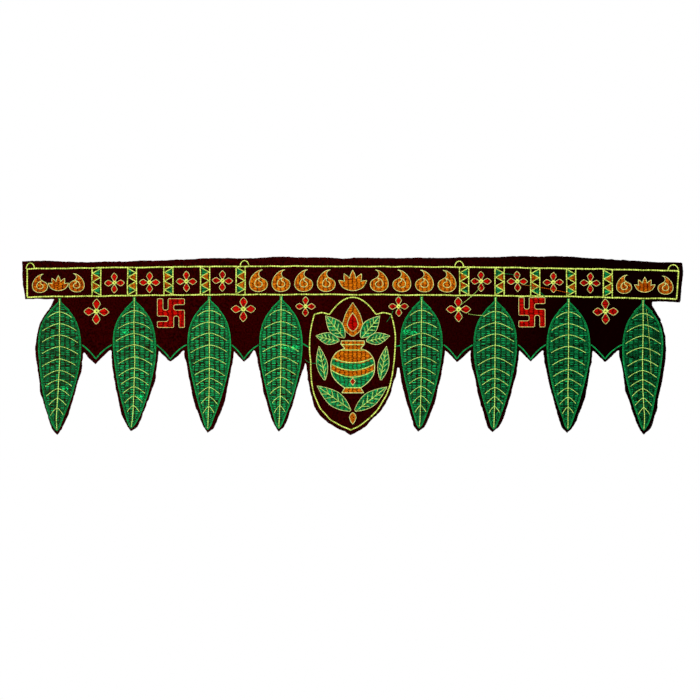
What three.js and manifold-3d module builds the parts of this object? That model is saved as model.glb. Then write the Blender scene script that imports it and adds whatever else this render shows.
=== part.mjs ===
// A toran: an embroidered velvet hanging for the top of a door frame. Millimetres, +Z up.
//
// One velvet panel is cut close round its embroidery: a straight band, and under it a row of mango leaves
// with a shield-shaped medallion in the middle. The panel hangs by its top edge, ripples a little more
// towards the leaf tips, and carries its thick thread work on the front as separate pieces.
//
// X runs along the lintel, the front faces -Y, and the origin is the middle of the top edge.
import * as THREE from "three";
import { mergeVertices } from "three/addons/utils/BufferGeometryUtils.js";
import Module from "manifold-3d";

const wasm = await Module();
wasm.setup();

// Driving dimensions
const WIDTH = 966; // over the two ends of the band
const DROP = 258; // top edge to the lowest leaf tip
const VELVET = 2; // thickness of the pile cloth with its backing
const GAP = 0.3; // between the velvet and the thread work on it
const BAND_TOP_LINE = -12.3; // the two long lines of stitching, at mid width
const BAND_BOTTOM_LINE = -53.5;
const CORD = 2.9; // width of a gold chain-stitched line
const LEAF_TOP = -64; // where a leaf's blade starts, at mid width

// Heights of the thread work over the velvet, gap left out
const FILL_HIGH = 0.9;
const CORD_HIGH = 1.1;
const VEIN_HIGH = 1.5;

// Thread and cloth colours
const CLOTH = { velvet: 0x2c0204 };
const THREAD = { gold: 0xb9c45a, green: 0x17713c, red: 0xb3140f, orange: 0xc0600f };

// How the panel hangs: the band sags towards its ends, and two shallow waves grow downwards.
const SAG = { middle: 5.3, tilt: 1.35 };
const WAVES = [
  { height: 2.6, length: 430, phase: 0.6 },
  { height: 1.4, length: 190, phase: 2.0 },
];
const WAVE_AT_TOP = 0.15;

const sag = (x) => {
  const share = x / (WIDTH / 2);
  return -(SAG.middle * share * share + SAG.tilt * share);
};

const ripple = (x, z) => {
  const depth = THREE.MathUtils.clamp(-z / DROP, 0, 1);
  const wave = WAVES.reduce(
    (sum, w) => sum + w.height * Math.sin((2 * Math.PI * x) / w.length + w.phase), 0);
  return (WAVE_AT_TOP + (1 - WAVE_AT_TOP) * depth) * wave;
};

// A closed geometry as a solid for cutting and joining.
function toSolid(geometry) {
  const bare = new THREE.BufferGeometry();
  bare.setAttribute("position", geometry.getAttribute("position"));
  bare.setIndex(geometry.index);
  const merged = mergeVertices(bare, 1e-3);
  return new wasm.Manifold(new wasm.Mesh({
    numProp: 3,
    vertProperties: merged.getAttribute("position").array,
    triVerts: new Uint32Array(merged.index.array),
  }));
}

// All the space in front of the rippled surface at `y`. One grid serves every surface, so they keep their distance.
const SHEET = { across: 28, down: 3, width: WIDTH + 34, top: 15, bottom: -275 };
const REACH = 20;
function spaceBefore(y) {
  const height = SHEET.top - SHEET.bottom;
  const box = new THREE.BoxGeometry(SHEET.width, y + REACH, height, SHEET.across, 1, SHEET.down);
  box.translate(0, (y - REACH) / 2, (SHEET.top + SHEET.bottom) / 2);
  const at = box.getAttribute("position");
  for (let i = 0; i < at.count; i++) {
    if (at.getY(i) > y - REACH / 2) at.setY(i, y + ripple(at.getX(i), at.getZ(i)));
  }
  return toSolid(box);
}

const rippledSheet = (front, back) => spaceBefore(back).subtract(spaceBefore(front));

// A cutter: the outline, drawn in X and Z, carried straight through the sheet.
function cutter(shape, curveSteps = 5) {
  const settings = { depth: 2 * REACH, bevelEnabled: false, curveSegments: curveSteps };
  const prism = new THREE.ExtrudeGeometry(shape, settings);
  prism.rotateX(Math.PI / 2).translate(0, REACH, 0);
  return toSolid(prism.deleteAttribute("normal").deleteAttribute("uv"));
}

const joined = (solids) => solids.reduce((all, next) => all.add(next));
const point = (x, z) => new THREE.Vector2(x, z);
const polygon = (points) => new THREE.Shape(points);

// Both sides of a line of stitching: each point moves half the width along the corner's bisector.
function sidesOf(points, width, closed) {
  const last = points.length - 1;
  return [1, -1].map((side) => points.map((p, i) => {
    const before = closed || i > 0 ? points[(i + last) % points.length] : null;
    const after = closed || i < last ? points[(i + 1) % points.length] : null;
    const into = before ? p.clone().sub(before).normalize() : null;
    const out = after ? after.clone().sub(p).normalize() : null;
    const along = (into ?? out).clone().add(out ?? into).normalize();
    const mitre = Math.max(0.5, along.dot(into ?? out));
    return point(-along.y, along.x).multiplyScalar((side * width) / 2 / mitre).add(p);
  }));
}

// A line of stitching as a cutter: an open ribbon, or, from points that run clockwise, a ring.
function stitchedLine(points, width = CORD, closed = false) {
  const [left, right] = sidesOf(points, width, closed);
  if (!closed) return cutter(polygon([...left, ...right.reverse()]));
  const ring = polygon(left);
  ring.holes.push(new THREE.Path(right.reverse()));
  return cutter(ring);
}

const evenly = (count, from, to) =>
  Array.from({ length: count + 1 }, (_, i) => from + ((to - from) * i) / count);

// The band

// How far the velvet's top edge stands over the top line: it was cut by hand.
const TOP_MARGINS = [
  { x: -483, margin: 11.6 },
  { x: -430, margin: 10.9 },
  { x: -381, margin: 8.7 },
  { x: -290, margin: 10.5 },
  { x: -176, margin: 12.5 },
  { x: -92, margin: 13.7 },
  { x: 5, margin: 12.3 },
  { x: 150, margin: 14.5 },
  { x: 294, margin: 17.6 },
  { x: 376, margin: 15.2 },
  { x: 420, margin: 13.2 },
  { x: 481, margin: 11.6 },
];
const BAND_ENDS = { left: -476.7, rightTop: 475.9, rightBottom: 473 };
const STRIP_WIDTH = 13.2;
const STRIPS = [
  { x: -374.5, mirrored: true },
  { x: -322.3, mirrored: false },
  { x: -269.2, mirrored: true },
  { x: -215.5, mirrored: false },
  { x: -163.7, mirrored: false },
  { x: 162.8, mirrored: true },
  { x: 214.5, mirrored: false },
  { x: 266.5, mirrored: true },
  { x: 319.0, mirrored: false },
  { x: 372.5, mirrored: false },
];
const ZIGZAG_TURNS = 6;
const ARCHES = [
  { x: -470.7, halfWidth: 6 },
  { x: -158, halfWidth: 6.4 },
  { x: 155.5, halfWidth: 6.4 },
  { x: 468, halfWidth: 7.6 },
];
const ARCH_RISE = 8.6;

const topLine = (x) => BAND_TOP_LINE + sag(x);
const bottomLine = (x) => BAND_BOTTOM_LINE + sag(x);

function bandOutline() {
  const top = new THREE.SplineCurve(
    TOP_MARGINS.map(({ x, margin }) => point(x, topLine(x) + margin))).getPoints(28);
  return polygon([
    ...top,
    point(483, topLine(483) - 4),
    point(480, bottomLine(480) + 6),
    ...evenly(14, 478.5, -478.5).map((x) => point(x, bottomLine(x) - 4 - x / 450)),
    point(-482.6, bottomLine(-482) + 20),
  ]);
}

function borderLines() {
  const { left, rightTop, rightBottom } = BAND_ENDS;
  const along = (line, to) => evenly(16, left, to).map((x) => point(x, line(x)));
  const upright = (xTop, xBottom) => [point(xTop, topLine(xTop)), point(xBottom, bottomLine(xBottom))];
  const lines = [
    along(topLine, rightTop + CORD / 2),
    along(bottomLine, rightBottom + CORD / 2),
    upright(left + CORD / 2, left + CORD / 2),
    upright(rightTop, rightBottom),
  ].map((line) => stitchedLine(line));
  for (const { x, mirrored } of STRIPS) {
    const half = STRIP_WIDTH / 2;
    lines.push(...[x - half, x + half].map((edge) => stitchedLine(upright(edge, edge), CORD * 0.8)));
    const turns = evenly(ZIGZAG_TURNS, 0, 1).map((share, i) => {
      const onLeft = (i % 2 === 0) !== mirrored;
      const edge = x + (onLeft ? -half : half) * 0.8;
      return point(edge, THREE.MathUtils.lerp(topLine(x) - 1.5, bottomLine(x) + 1.5, share));
    });
    lines.push(stitchedLine(turns, CORD * 0.7));
  }
  for (const { x, halfWidth } of ARCHES) {
    const arch = evenly(6, Math.PI, 0).map((turn) =>
      point(x + halfWidth * Math.cos(turn), topLine(x) + ARCH_RISE * Math.sin(turn)));
    lines.push(stitchedLine(arch, CORD * 0.75));
  }
  return joined(lines);
}

// The leaves

const LEAVES = [
  { name: "leaf_1", stem: -428, tip: -432, tipZ: -254, half: 31.5, left: 3.2, right: 3.1 },
  { name: "leaf_2", stem: -319, tip: -324, tipZ: -250, half: 31.7, left: 2.2, right: 5.4 },
  { name: "leaf_3", stem: -209.5, tip: -212, tipZ: -252, half: 32, left: 2.4, right: 4.8 },
  { name: "leaf_4", stem: -104.5, tip: -108, tipZ: -250.5, half: 31.5, left: 2.2, right: 3.2 },
  { name: "leaf_5", stem: 100.5, tip: 97, tipZ: -250, half: 31.5, left: 2.6, right: 4.2 },
  { name: "leaf_6", stem: 208.5, tip: 205.5, tipZ: -251.5, half: 32, left: 2.6, right: 3.6 },
  { name: "leaf_7", stem: 315, tip: 313.5, tipZ: -252, half: 32, left: 2.6, right: 4 },
  { name: "leaf_8", stem: 424, tip: 425, tipZ: -253, half: 30, left: 3.2, right: 3.8 },
];
const VEINS = { count: 10, first: 0.07, last: 0.81, crowding: 1.15, width: 1.7, droop: 10 };
const STALK = { width: 4, length: 9 };

// The blade's half width at a share of its length: quick to widen, slow to taper.
const bladeShare = (s) => (1 - Math.exp(-s / 0.2)) ** 0.85 * (1 - s) ** 0.68;
const WIDEST = Math.max(...evenly(100, 0, 1).map(bladeShare));

const leafTop = (leaf) => LEAF_TOP + sag(leaf.stem);
const onMidrib = (leaf, share) => point(
  THREE.MathUtils.lerp(leaf.stem, leaf.tip, share ** 1.5),
  THREE.MathUtils.lerp(leafTop(leaf), leaf.tipZ, share));
const halfWidthAt = (leaf, share) => (leaf.half * bladeShare(share)) / WIDEST;

function bladeOutline(leaf) {
  const shares = [0, 0.03, 0.08, 0.15, 0.24, 0.34, 0.46, 0.58, 0.7, 0.81, 0.91, 0.97];
  const side = (sign) => shares.map((share) => {
    const middle = onMidrib(leaf, share);
    return point(middle.x + sign * halfWidthAt(leaf, share), middle.y);
  });
  return [...side(1), onMidrib(leaf, 1), ...side(-1).slice(1).reverse()];
}

// The velvet past a clockwise outline: `marginOf` gives its width at each point of the outline.
function outlineWithMargin(outline, marginOf) {
  const [oneOut] = sidesOf(outline, 2, true);
  return polygon(outline.map((p, i) => p.clone().lerp(oneOut[i], marginOf(p, i))));
}

function leafMargin(leaf) {
  const outline = bladeOutline(leaf);
  const tip = outline.length / 2;
  return outlineWithMargin(outline, (p, i) => {
    if (i === tip) return Math.min(leaf.left, leaf.right);
    return i < tip ? leaf.right : leaf.left;
  });
}

function leafVeins(leaf) {
  const rib = [0, 0.3, 0.6, 0.97].map((share) => onMidrib(leaf, share));
  const top = rib[0].clone().add(point(0, STALK.length - 2));
  const lines = [stitchedLine([top, ...rib], CORD * 0.8)];
  for (const step of evenly(VEINS.count - 1, 0, 1)) {
    const share = THREE.MathUtils.lerp(VEINS.first, VEINS.last, 1 - (1 - step) ** VEINS.crowding);
    const middle = onMidrib(leaf, share);
    const reach = 0.82 * halfWidthAt(leaf, share + 0.04);
    const droop = VEINS.droop * (reach / leaf.half + 0.1);
    const arm = [-1, -0.45, 0.45, 1].map((across) =>
      point(middle.x + across * reach, middle.y - droop * across * across));
    lines.push(stitchedLine(arm, VEINS.width));
  }
  return joined(lines);
}

// The velvet between the pendants

const WEB = { notch: -135, tip: -152, tipShift: -2 };
const WEB_LINE = { start: -127, tip: -147.8, width: 2 };

// Neighbours that have a pointed web between them.
const WEB_PAIRS = [[0, 1], [1, 2], [2, 3], [4, 5], [5, 6], [6, 7]];

// Plain velvet behind the medallion's top, beside its flanks and at the two outer leaves' shoulders.
const FILLINGS = [
  [[-104, -53], [100, -53], [100, -120], [-104, -120]],
  [[-104, -110], [-55, -110], [-60, -151], [-72, -151]],
  [[100, -110], [70, -160], [60, -160], [55, -110]],
  [[-434.5, -58], [-424, -58], [-424, -84], [-451.5, -84], [-441, -70]],
  [[420, -60], [437.3, -60], [437.3, -70], [451, -91], [420, -91]],
];

const webEdges = ([a, b]) => {
  const left = LEAVES[a].stem + LEAVES[a].half;
  const right = LEAVES[b].stem - LEAVES[b].half;
  return { left, right, middle: (left + right) / 2 + WEB.tipShift };
};

function webOutline(pair) {
  const { left, right, middle } = webEdges(pair);
  const [from, to] = pair.map((leaf) => LEAVES[leaf].stem);
  return polygon([
    point(from, BAND_BOTTOM_LINE),
    point(to, BAND_BOTTOM_LINE),
    point(to, WEB.notch),
    point(right - 3, WEB.notch),
    point(middle, WEB.tip),
    point(left + 3.5, WEB.notch),
    point(from, WEB.notch),
  ]);
}

function webLine(pair) {
  const { left, right, middle } = webEdges(pair);
  return stitchedLine([
    point(left + 2.4, WEB_LINE.start),
    point(middle, WEB_LINE.tip),
    point(middle + (right - middle) * 0.42, WEB_LINE.start - 7.5),
    point(right - 2.4, WEB_LINE.start),
  ], WEB_LINE.width);
}

// The medallion

const SHIELD = { half: 63, widest: -127, shoulder: -82.5, corner: 56, notch: 34, archTop: -57.5 };
const SHIELD_TIP = { x: -3, z: -251 };
const FULLNESS = { left: 3.7, right: 3 };
const SHIELD_MARGIN = { left: 5, right: 3.4 };

// One side of the shield, from the arch's top down to just over the bottom point.
function shieldSide(side) {
  const { half, widest, shoulder, corner, notch, archTop } = SHIELD;
  const sign = side === "left" ? -1 : 1;
  const arch = evenly(5, 0, 1).map((share) =>
    point(notch * share, archTop + (shoulder - archTop) * share * share));
  const upper = evenly(3, 0, 1).map((share) =>
    point(half - (half - corner) * (1 - share) ** 2, shoulder + (widest - shoulder) * share));
  const lower = [0.2, 0.38, 0.54, 0.68, 0.8, 0.9, 0.96].map((t) =>
    point(half * (1 - t ** FULLNESS[side]) ** 0.93, widest + (SHIELD_TIP.z - widest) * t));
  return [...arch, point((notch + corner) / 2, shoulder + 2.6), ...upper, ...lower]
    .map((p) => point(sign * p.x, p.y));
}

const shieldPath = () => [
  ...shieldSide("right"),
  point(SHIELD_TIP.x, SHIELD_TIP.z),
  ...shieldSide("left").slice(1).reverse(),
];

const medallionMargin = () =>
  outlineWithMargin(shieldPath(), (p) => (p.x > 0 ? SHIELD_MARGIN.right : SHIELD_MARGIN.left));

// Motifs

// A pointed petal or small leaf from `base`, turned `angle` from straight up, widest at `belly` of its length.
function petal(base, angle, length, half, belly = 0.5) {
  const along = point(Math.sin(angle), Math.cos(angle));
  const across = point(along.y, -along.x);
  const at = (far, out) => base.clone()
    .addScaledVector(along, far * length).addScaledVector(across, out * half);
  const profile = [[0, 0.14], [belly * 0.45, 0.72], [belly, 1], [(1 + belly) / 2, 0.66]];
  return polygon([
    ...profile.map(([far, out]) => at(far, out)),
    at(1, 0),
    ...profile.reverse().map(([far, out]) => at(far, -out)),
  ]);
}

const FLOWERS = [
  { x: -348, z: -36.5, reach: 14.8 },
  { x: -296.8, z: -35.8, reach: 15.2 },
  { x: -242.9, z: -34.3, reach: 15.2 },
  { x: -190.3, z: -33.6, reach: 15.2 },
  { x: 187.4, z: -34.3, reach: 15 },
  { x: 240.3, z: -34.3, reach: 15 },
  { x: 292.6, z: -35.8, reach: 15 },
  { x: 346.6, z: -36.5, reach: 15 },
  { x: -374.4, z: -78.2, reach: 18.6 },
  { x: -159.6, z: -75.2, reach: 18 },
  { x: -69, z: -70.9, reach: 14.6 },
  { x: 66.8, z: -70.9, reach: 14.6 },
  { x: 154.5, z: -75.2, reach: 18 },
  { x: 369.2, z: -78.2, reach: 18.6 },
];
const EYE_SHARE = 0.24;

function disc(centre, radius) {
  return new THREE.Shape().absarc(centre.x, centre.y, radius, 0, 2 * Math.PI);
}

function flower({ x, z, reach }) {
  const centre = point(x, z);
  const petals = [0, 1, 2, 3].map((quarter) =>
    cutter(petal(centre, (quarter * Math.PI) / 2, reach, reach * 0.3, 0.6)));
  return joined([...petals, cutter(disc(centre, reach * EYE_SHARE))]);
}

// The traditional sign of good fortune, on a lattice of five cells: one arm, turned four times.
const SIGNS = [
  { name: "sign_left", x: -265.5, z: -81.5 },
  { name: "sign_right", x: 261.5, z: -81.5 },
];
const SIGN_CELL = { x: 8.1, z: 8.5 };
const SIGN_ARM = [[-0.5, 0.5], [-0.5, 2.5], [2.5, 2.5], [2.5, 1.5], [0.5, 1.5]];

function sign({ x, z }) {
  const corners = [0, 1, 2, 3].flatMap((turns) => SIGN_ARM.map(([across, up]) => {
    const turned = point(across, up).rotateAround(point(0, 0), (-turns * Math.PI) / 2);
    return point(x + turned.x * SIGN_CELL.x, z + turned.y * SIGN_CELL.z);
  }));
  return cutter(polygon(corners));
}

// A paisley of unit height with its tip curled to one side.
const PAISLEYS = [-138, -105, -72, -39, 39, 72, 105, 138].map((x) =>
  ({ x, z: bottomLine(x) + 4.5, size: 32 }));
const END_PAISLEYS = [-457, -403, 396, 457].map((x) => ({ x, z: bottomLine(x) + 6.5, size: 27 }));
const END_BUDS = [-430, 426.5].map((x) => ({ x, z: bottomLine(x) + 9, size: 22 }));

function paisley({ x, z, size, facing }) {
  const to = (across, up) => [x + facing * across * size, z + up * size];
  const s = new THREE.Shape();
  s.moveTo(...to(0.2, 1));
  s.bezierCurveTo(...to(-0.04, 1), ...to(-0.4, 0.7), ...to(-0.4, 0.36));
  s.bezierCurveTo(...to(-0.4, 0.12), ...to(-0.22, 0), ...to(0, 0));
  s.bezierCurveTo(...to(0.24, 0), ...to(0.42, 0.13), ...to(0.42, 0.34));
  s.bezierCurveTo(...to(0.42, 0.6), ...to(0.08, 0.56), ...to(0.03, 0.76));
  s.bezierCurveTo(...to(0.01, 0.88), ...to(0.08, 0.96), ...to(0.2, 1));
  return cutter(s, 4);
}

// An open bud: pointed petals that fan out of one foot.
function bud({ x, z, size }) {
  const foot = point(x, z);
  return joined([-0.95, -0.48, 0, 0.48, 0.95].map((angle) =>
    cutter(petal(foot, angle, size * (1 - 0.16 * Math.abs(angle)), size * 0.16, 0.55))));
}

// The medallion's picture: a water pot among leaves, with a bud in its mouth and a drop below.
const POT = { rim: -121, neck: -132, belly: -159, waist: -190, foot: -197, half: 32 };
const POT_BUD = { foot: -114, length: 49, half: 15 };
const POT_DROP = { top: -226, length: 17, half: 5 };

// The leaves on the right side; each has a mirror image on the left.
const POT_LEAVES = [
  { name: "upper", x: 12, z: -116, angle: 0.72, length: 42, half: 10.5 },
  { name: "middle", x: 20, z: -121, angle: 1.36, length: 35, half: 8.5 },
  { name: "side", x: 41, z: -178, angle: 0.17, length: 50, half: 8 },
  { name: "lower", x: 3.5, z: -223, angle: 0.93, length: 61, half: 11 },
];

function pot() {
  const { rim, neck, belly, waist, foot, half } = POT;
  const profile = [
    [0.52, rim],
    [0.54, rim - 5],
    [0.36, neck],
    [0.74, neck - 6],
    [0.95, belly + 11],
    [1, belly],
    [0.94, belly - 12],
    [0.68, belly - 23],
    [0.36, waist],
    [0.5, foot],
  ];
  const side = (sign) => profile.map(([share, z]) => point(sign * share * half, z));
  return cutter(polygon([...side(1), ...side(-1).reverse()]));
}

const potLeaf = ({ x, z, angle, length, half }, sign) =>
  cutter(petal(point(sign * x, z), sign * angle, length, half, 0.46));

// The pieces, each cut from its own rippled sheet

const front = -VELVET / 2 - GAP;
const sheets = {
  velvet: rippledSheet(-VELVET / 2, VELVET / 2),
  fill: rippledSheet(front - FILL_HIGH, front),
  cord: rippledSheet(front - CORD_HIGH, front),
  vein: rippledSheet(front - VEIN_HIGH, front - FILL_HIGH / 2),
};

const toran = new THREE.Group();

function addPiece(name, solid, color, roughness) {
  const { vertProperties, triVerts } = solid.getMesh();
  const geometry = new THREE.BufferGeometry();
  geometry.setAttribute("position", new THREE.BufferAttribute(vertProperties, 3));
  geometry.setIndex(new THREE.BufferAttribute(triVerts, 1));
  geometry.computeVertexNormals();
  const material = new THREE.MeshStandardMaterial({ color, roughness, metalness: 0 });
  const mesh = new THREE.Mesh(geometry, material);
  mesh.name = name;
  toran.add(mesh);
}

const addThread = (name, cut, color, sheet = sheets.fill) =>
  addPiece(name, sheet.intersect(cut), color, 0.55);

function addPanel() {
  const outline = joined([
    cutter(bandOutline()),
    ...WEB_PAIRS.map((pair) => cutter(webOutline(pair))),
    ...FILLINGS.map((corners) => cutter(polygon(corners.map(([x, z]) => point(x, z))))),
    ...LEAVES.map((leaf) => cutter(leafMargin(leaf))),
    cutter(medallionMargin()),
  ]);
  addPiece("velvet_panel", sheets.velvet.intersect(outline), CLOTH.velvet, 0.95);
}

function addLeaf(leaf) {
  const top = onMidrib(leaf, 0);
  const stalk = stitchedLine([top.clone().add(point(0, STALK.length - 2)), onMidrib(leaf, 0.05)], STALK.width);
  const blade = sheets.fill.intersect(cutter(polygon(bladeOutline(leaf))).add(stalk));
  const veins = sheets.vein.intersect(leafVeins(leaf));
  addPiece(leaf.name, blade.add(veins), THREAD.green, 0.5);
}

addPanel();
addThread("border_lines", borderLines(), THREAD.gold, sheets.cord);
addThread("shield_line", stitchedLine(shieldPath(), CORD, true), THREAD.gold, sheets.cord);
LEAVES.forEach(addLeaf);
WEB_PAIRS.forEach((pair, i) => addThread(`web_line_${i + 1}`, webLine(pair), THREAD.green, sheets.cord));
FLOWERS.forEach((spec, i) => addThread(`flower_${i + 1}`, flower(spec), THREAD.red));
SIGNS.forEach((spec) => addThread(spec.name, sign(spec), THREAD.red));

PAISLEYS.forEach((spec, i) =>
  addThread(`paisley_${i + 1}`, paisley({ ...spec, facing: -Math.sign(spec.x) }), THREAD.orange));
END_PAISLEYS.forEach((spec, i) =>
  addThread(`end_paisley_${i + 1}`, paisley({ ...spec, facing: i % 2 ? -1 : 1 }), THREAD.orange));
addThread("band_bud", bud({ x: 0, z: bottomLine(0) + 6, size: 30 }), THREAD.orange);
END_BUDS.forEach((spec, i) => addThread(`end_bud_${i + 1}`, bud(spec), THREAD.orange));

addThread("pot", pot(), THREAD.orange);
addThread("pot_bud", cutter(petal(point(0, POT_BUD.foot), 0, POT_BUD.length, POT_BUD.half, 0.36)), THREAD.red);
addThread("pot_drop", cutter(petal(point(0, POT_DROP.top), Math.PI, POT_DROP.length, POT_DROP.half, 0.4)),
  THREAD.orange);
for (const leaf of POT_LEAVES) {
  addThread(`pot_leaf_${leaf.name}_left`, potLeaf(leaf, -1), THREAD.green);
  addThread(`pot_leaf_${leaf.name}_right`, potLeaf(leaf, 1), THREAD.green);
}

export default toran;
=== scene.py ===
# %% [markdown]
# A toran is the embroidered cloth that hangs across the top of a door frame. This one is dark maroon
# velvet, cut close round its embroidery: a straight band, eight mango leaves and a medallion shaped like a
# shield. The solids of the model come first, because every thread here is sewn to them. They are loaded
# once, never moved, and each one is replaced below by the stitches that it stands for.

import math  # noqa: E402

import bpy  # noqa: E402
import numpy as np  # noqa: E402
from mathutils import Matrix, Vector  # noqa: E402
from mathutils.geometry import delaunay_2d_cdt  # noqa: E402


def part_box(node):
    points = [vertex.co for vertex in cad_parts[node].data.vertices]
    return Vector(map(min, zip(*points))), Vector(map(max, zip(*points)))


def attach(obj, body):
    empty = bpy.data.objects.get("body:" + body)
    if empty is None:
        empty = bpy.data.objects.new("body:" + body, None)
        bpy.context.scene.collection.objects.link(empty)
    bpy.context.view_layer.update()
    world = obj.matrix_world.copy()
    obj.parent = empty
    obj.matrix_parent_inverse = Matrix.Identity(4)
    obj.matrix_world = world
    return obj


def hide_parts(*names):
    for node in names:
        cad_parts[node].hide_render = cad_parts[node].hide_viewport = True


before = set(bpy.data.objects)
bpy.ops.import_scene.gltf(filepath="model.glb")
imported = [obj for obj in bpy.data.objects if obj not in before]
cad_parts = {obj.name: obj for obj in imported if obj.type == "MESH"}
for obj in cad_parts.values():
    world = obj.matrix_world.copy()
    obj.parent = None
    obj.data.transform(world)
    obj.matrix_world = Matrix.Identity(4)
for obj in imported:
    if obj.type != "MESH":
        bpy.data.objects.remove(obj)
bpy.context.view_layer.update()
scene = bpy.context.scene
MM = 0.001
rng = np.random.default_rng(11)

# %% [markdown]
# The camera looks straight at the hanging, as a shop's camera does, through a long lens, so the band stays
# straight and no leaf leans. The picture is a little over a metre wide at the cloth.

# %% Camera
VIEW_WIDTH = 1.0227
VIEW_CENTRE = (-0.004, -0.1344)
LENS = 100.0
SENSOR = 36.0

camera_data = bpy.data.cameras.new("camera")
camera_data.lens = LENS
camera_data.sensor_width = SENSOR
camera = bpy.data.objects.new("camera", camera_data)
distance = VIEW_WIDTH * LENS / SENSOR
camera.location = (VIEW_CENTRE[0], -distance, VIEW_CENTRE[1])
camera.rotation_euler = (math.radians(90), 0, 0)
scene.collection.objects.link(camera)
scene.camera = camera
print("camera distance", round(distance, 3), "m")

# %% [markdown]
# Colours are chosen as sRGB hex values, as a paint chart gives them, but the renderer counts light linearly.
# One function turns the one into the other. A second adds a shader node with its settings and its links, so
# that each material below can be read as a list of steps.

# %% Helpers for materials
def linear(hex_colour):
    """Each sRGB channel c of 0 to 1 becomes c / 12.92 when it is small, else ((c + 0.055) / 1.055) to the 2.4."""
    channels = [int(hex_colour[i : i + 2], 16) / 255 for i in (1, 3, 5)]
    return tuple(c / 12.92 if c <= 0.04045 else ((c + 0.055) / 1.055) ** 2.4 for c in channels) + (1.0,)


def add_node(material, kind, settings=(), links=(), **attributes):
    """One shader node: its attributes, its sockets' values, and what is linked into them."""
    node = material.node_tree.nodes.new(kind)
    for name, value in attributes.items():
        setattr(node, name, value)
    for name, value in dict(settings).items():
        node.inputs[name].default_value = value
    for name, source in dict(links).items():
        material.node_tree.links.new(source, node.inputs[name])
    return node


def new_material(name):
    """A bare material with its output node."""
    material = bpy.data.materials.new(name)
    material.use_nodes = True
    material.node_tree.nodes.clear()
    return material, add_node(material, "ShaderNodeOutputMaterial")


def finish_material(material, output, shader):
    """The material, once its last shader is linked to its output."""
    material.node_tree.links.new(shader.outputs[0], output.inputs["Surface"])
    return material


print("a grey of #808080 reflects", round(linear("#808080")[0], 3), "of the light")

# %% [markdown]
# The cloth hangs in an even white surround, as in a shop's picture, with a plain pale floor well below it. It
# is nearly black, so all its shape has to come from soft light on its edges and threads. Three large soft
# lamps give that light: the one at the upper left shows each thread's roundness, and the one behind shows the
# edge when the cloth is seen from the back.

# %% Floor, surround and light
def flat_card(name, corners, colour):
    """A plain card of paper, from its four corners."""
    mesh = bpy.data.meshes.new(name)
    mesh.from_pydata(corners, [], [(0, 1, 2, 3)])
    card = bpy.data.objects.new(name, mesh)
    scene.collection.objects.link(card)
    material, output = new_material(name)
    paper = add_node(material, "ShaderNodeBsdfPrincipled", {"Base Color": linear(colour), "Roughness": 0.9})
    mesh.materials.append(finish_material(material, output, paper))


FLOOR_Z = -1.35
REACH = 3.0
PALE_PAPER = "#f2f2f2"
SQUARE = ((-REACH, -REACH), (REACH, -REACH), (REACH, REACH), (-REACH, REACH))
flat_card("floor", [(x, y, FLOOR_Z) for x, y in SQUARE], PALE_PAPER)


def soft_light(name, place, aim, size, watts):
    """A square area lamp that faces its aim."""
    data = bpy.data.lights.new(name, "AREA")
    data.shape = "SQUARE"
    data.size = size
    data.energy = watts
    lamp = bpy.data.objects.new(name, data)
    lamp.location = place
    lamp.rotation_euler = (Vector(aim) - Vector(place)).to_track_quat("-Z", "Y").to_euler()
    scene.collection.objects.link(lamp)


AIM = (0, 0, -0.13)
soft_light("key_light", (-0.8, -1.5, 1.1), AIM, size=0.7, watts=16)
soft_light("fill_light", (1.3, -1.6, 0.1), AIM, size=1.2, watts=7)
soft_light("back_light", (0.5, 1.6, 0.8), AIM, size=1.2, watts=10)

world = bpy.data.worlds.new("studio")
world.use_nodes = True
world.node_tree.nodes["Background"].inputs["Color"].default_value = (1, 1, 1, 1)
world.node_tree.nodes["Background"].inputs["Strength"].default_value = 1.0
scene.world = world
scene.view_settings.view_transform = "Standard"

# %% [markdown]
# The cloth hangs almost flat. Two long shallow waves run along it and grow from the held top edge down to
# the leaf tips. Every thread lies on that wave, so it is written once, as the same sum of sines that the
# solids follow.

# %% The hanging wave
DROP = 258.0
VELVET_MM = 2.0
WAVES = ((2.6, 430.0, 0.6), (1.4, 190.0, 2.0))
WAVE_AT_TOP = 0.15


def wave_at(x, z):
    """How far behind the flat the cloth hangs at (x, z), all in mm: the sum of two sines along x, times a
    share that grows in a straight line from the top edge to the tips."""
    depth = np.clip(-z / DROP, 0, 1)
    waves = sum(height * np.sin(2 * np.pi * x / length + phase) for height, length, phase in WAVES)
    return (WAVE_AT_TOP + (1 - WAVE_AT_TOP) * depth) * waves


def on_front(points, lift=0.0):
    """Points (x, z) in mm laid on the velvet's front, lifted towards the viewer, as (x, y, z) in metres."""
    x, z = points[:, 0], points[:, 1]
    y = wave_at(x, z) - VELVET_MM / 2 - lift
    return np.stack([x, y, z], axis=1) * MM


def on_back(points, lift=0.0):
    """The same on the velvet's back, lifted away from the viewer."""
    x, z = points[:, 0], points[:, 1]
    y = wave_at(x, z) + VELVET_MM / 2 + lift
    return np.stack([x, y, z], axis=1) * MM


ends_and_middle = wave_at(np.array([-483.0, 0.0, 483.0]), -DROP)
print("wave at the lower edge, left, middle and right:", np.round(ends_and_middle, 1), "mm")

# %% [markdown]
# A motif is sewn in two passes: a filling, then an outline cord over the filling's edge. Both need the
# motif's outline, and the solid has it. It is the border of the faces that look at the viewer: a side of one
# of them that no other one shares. Walking along those sides gives the loop.

# %% Outlines from the solids
FACES_FRONT = -0.5


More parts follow.
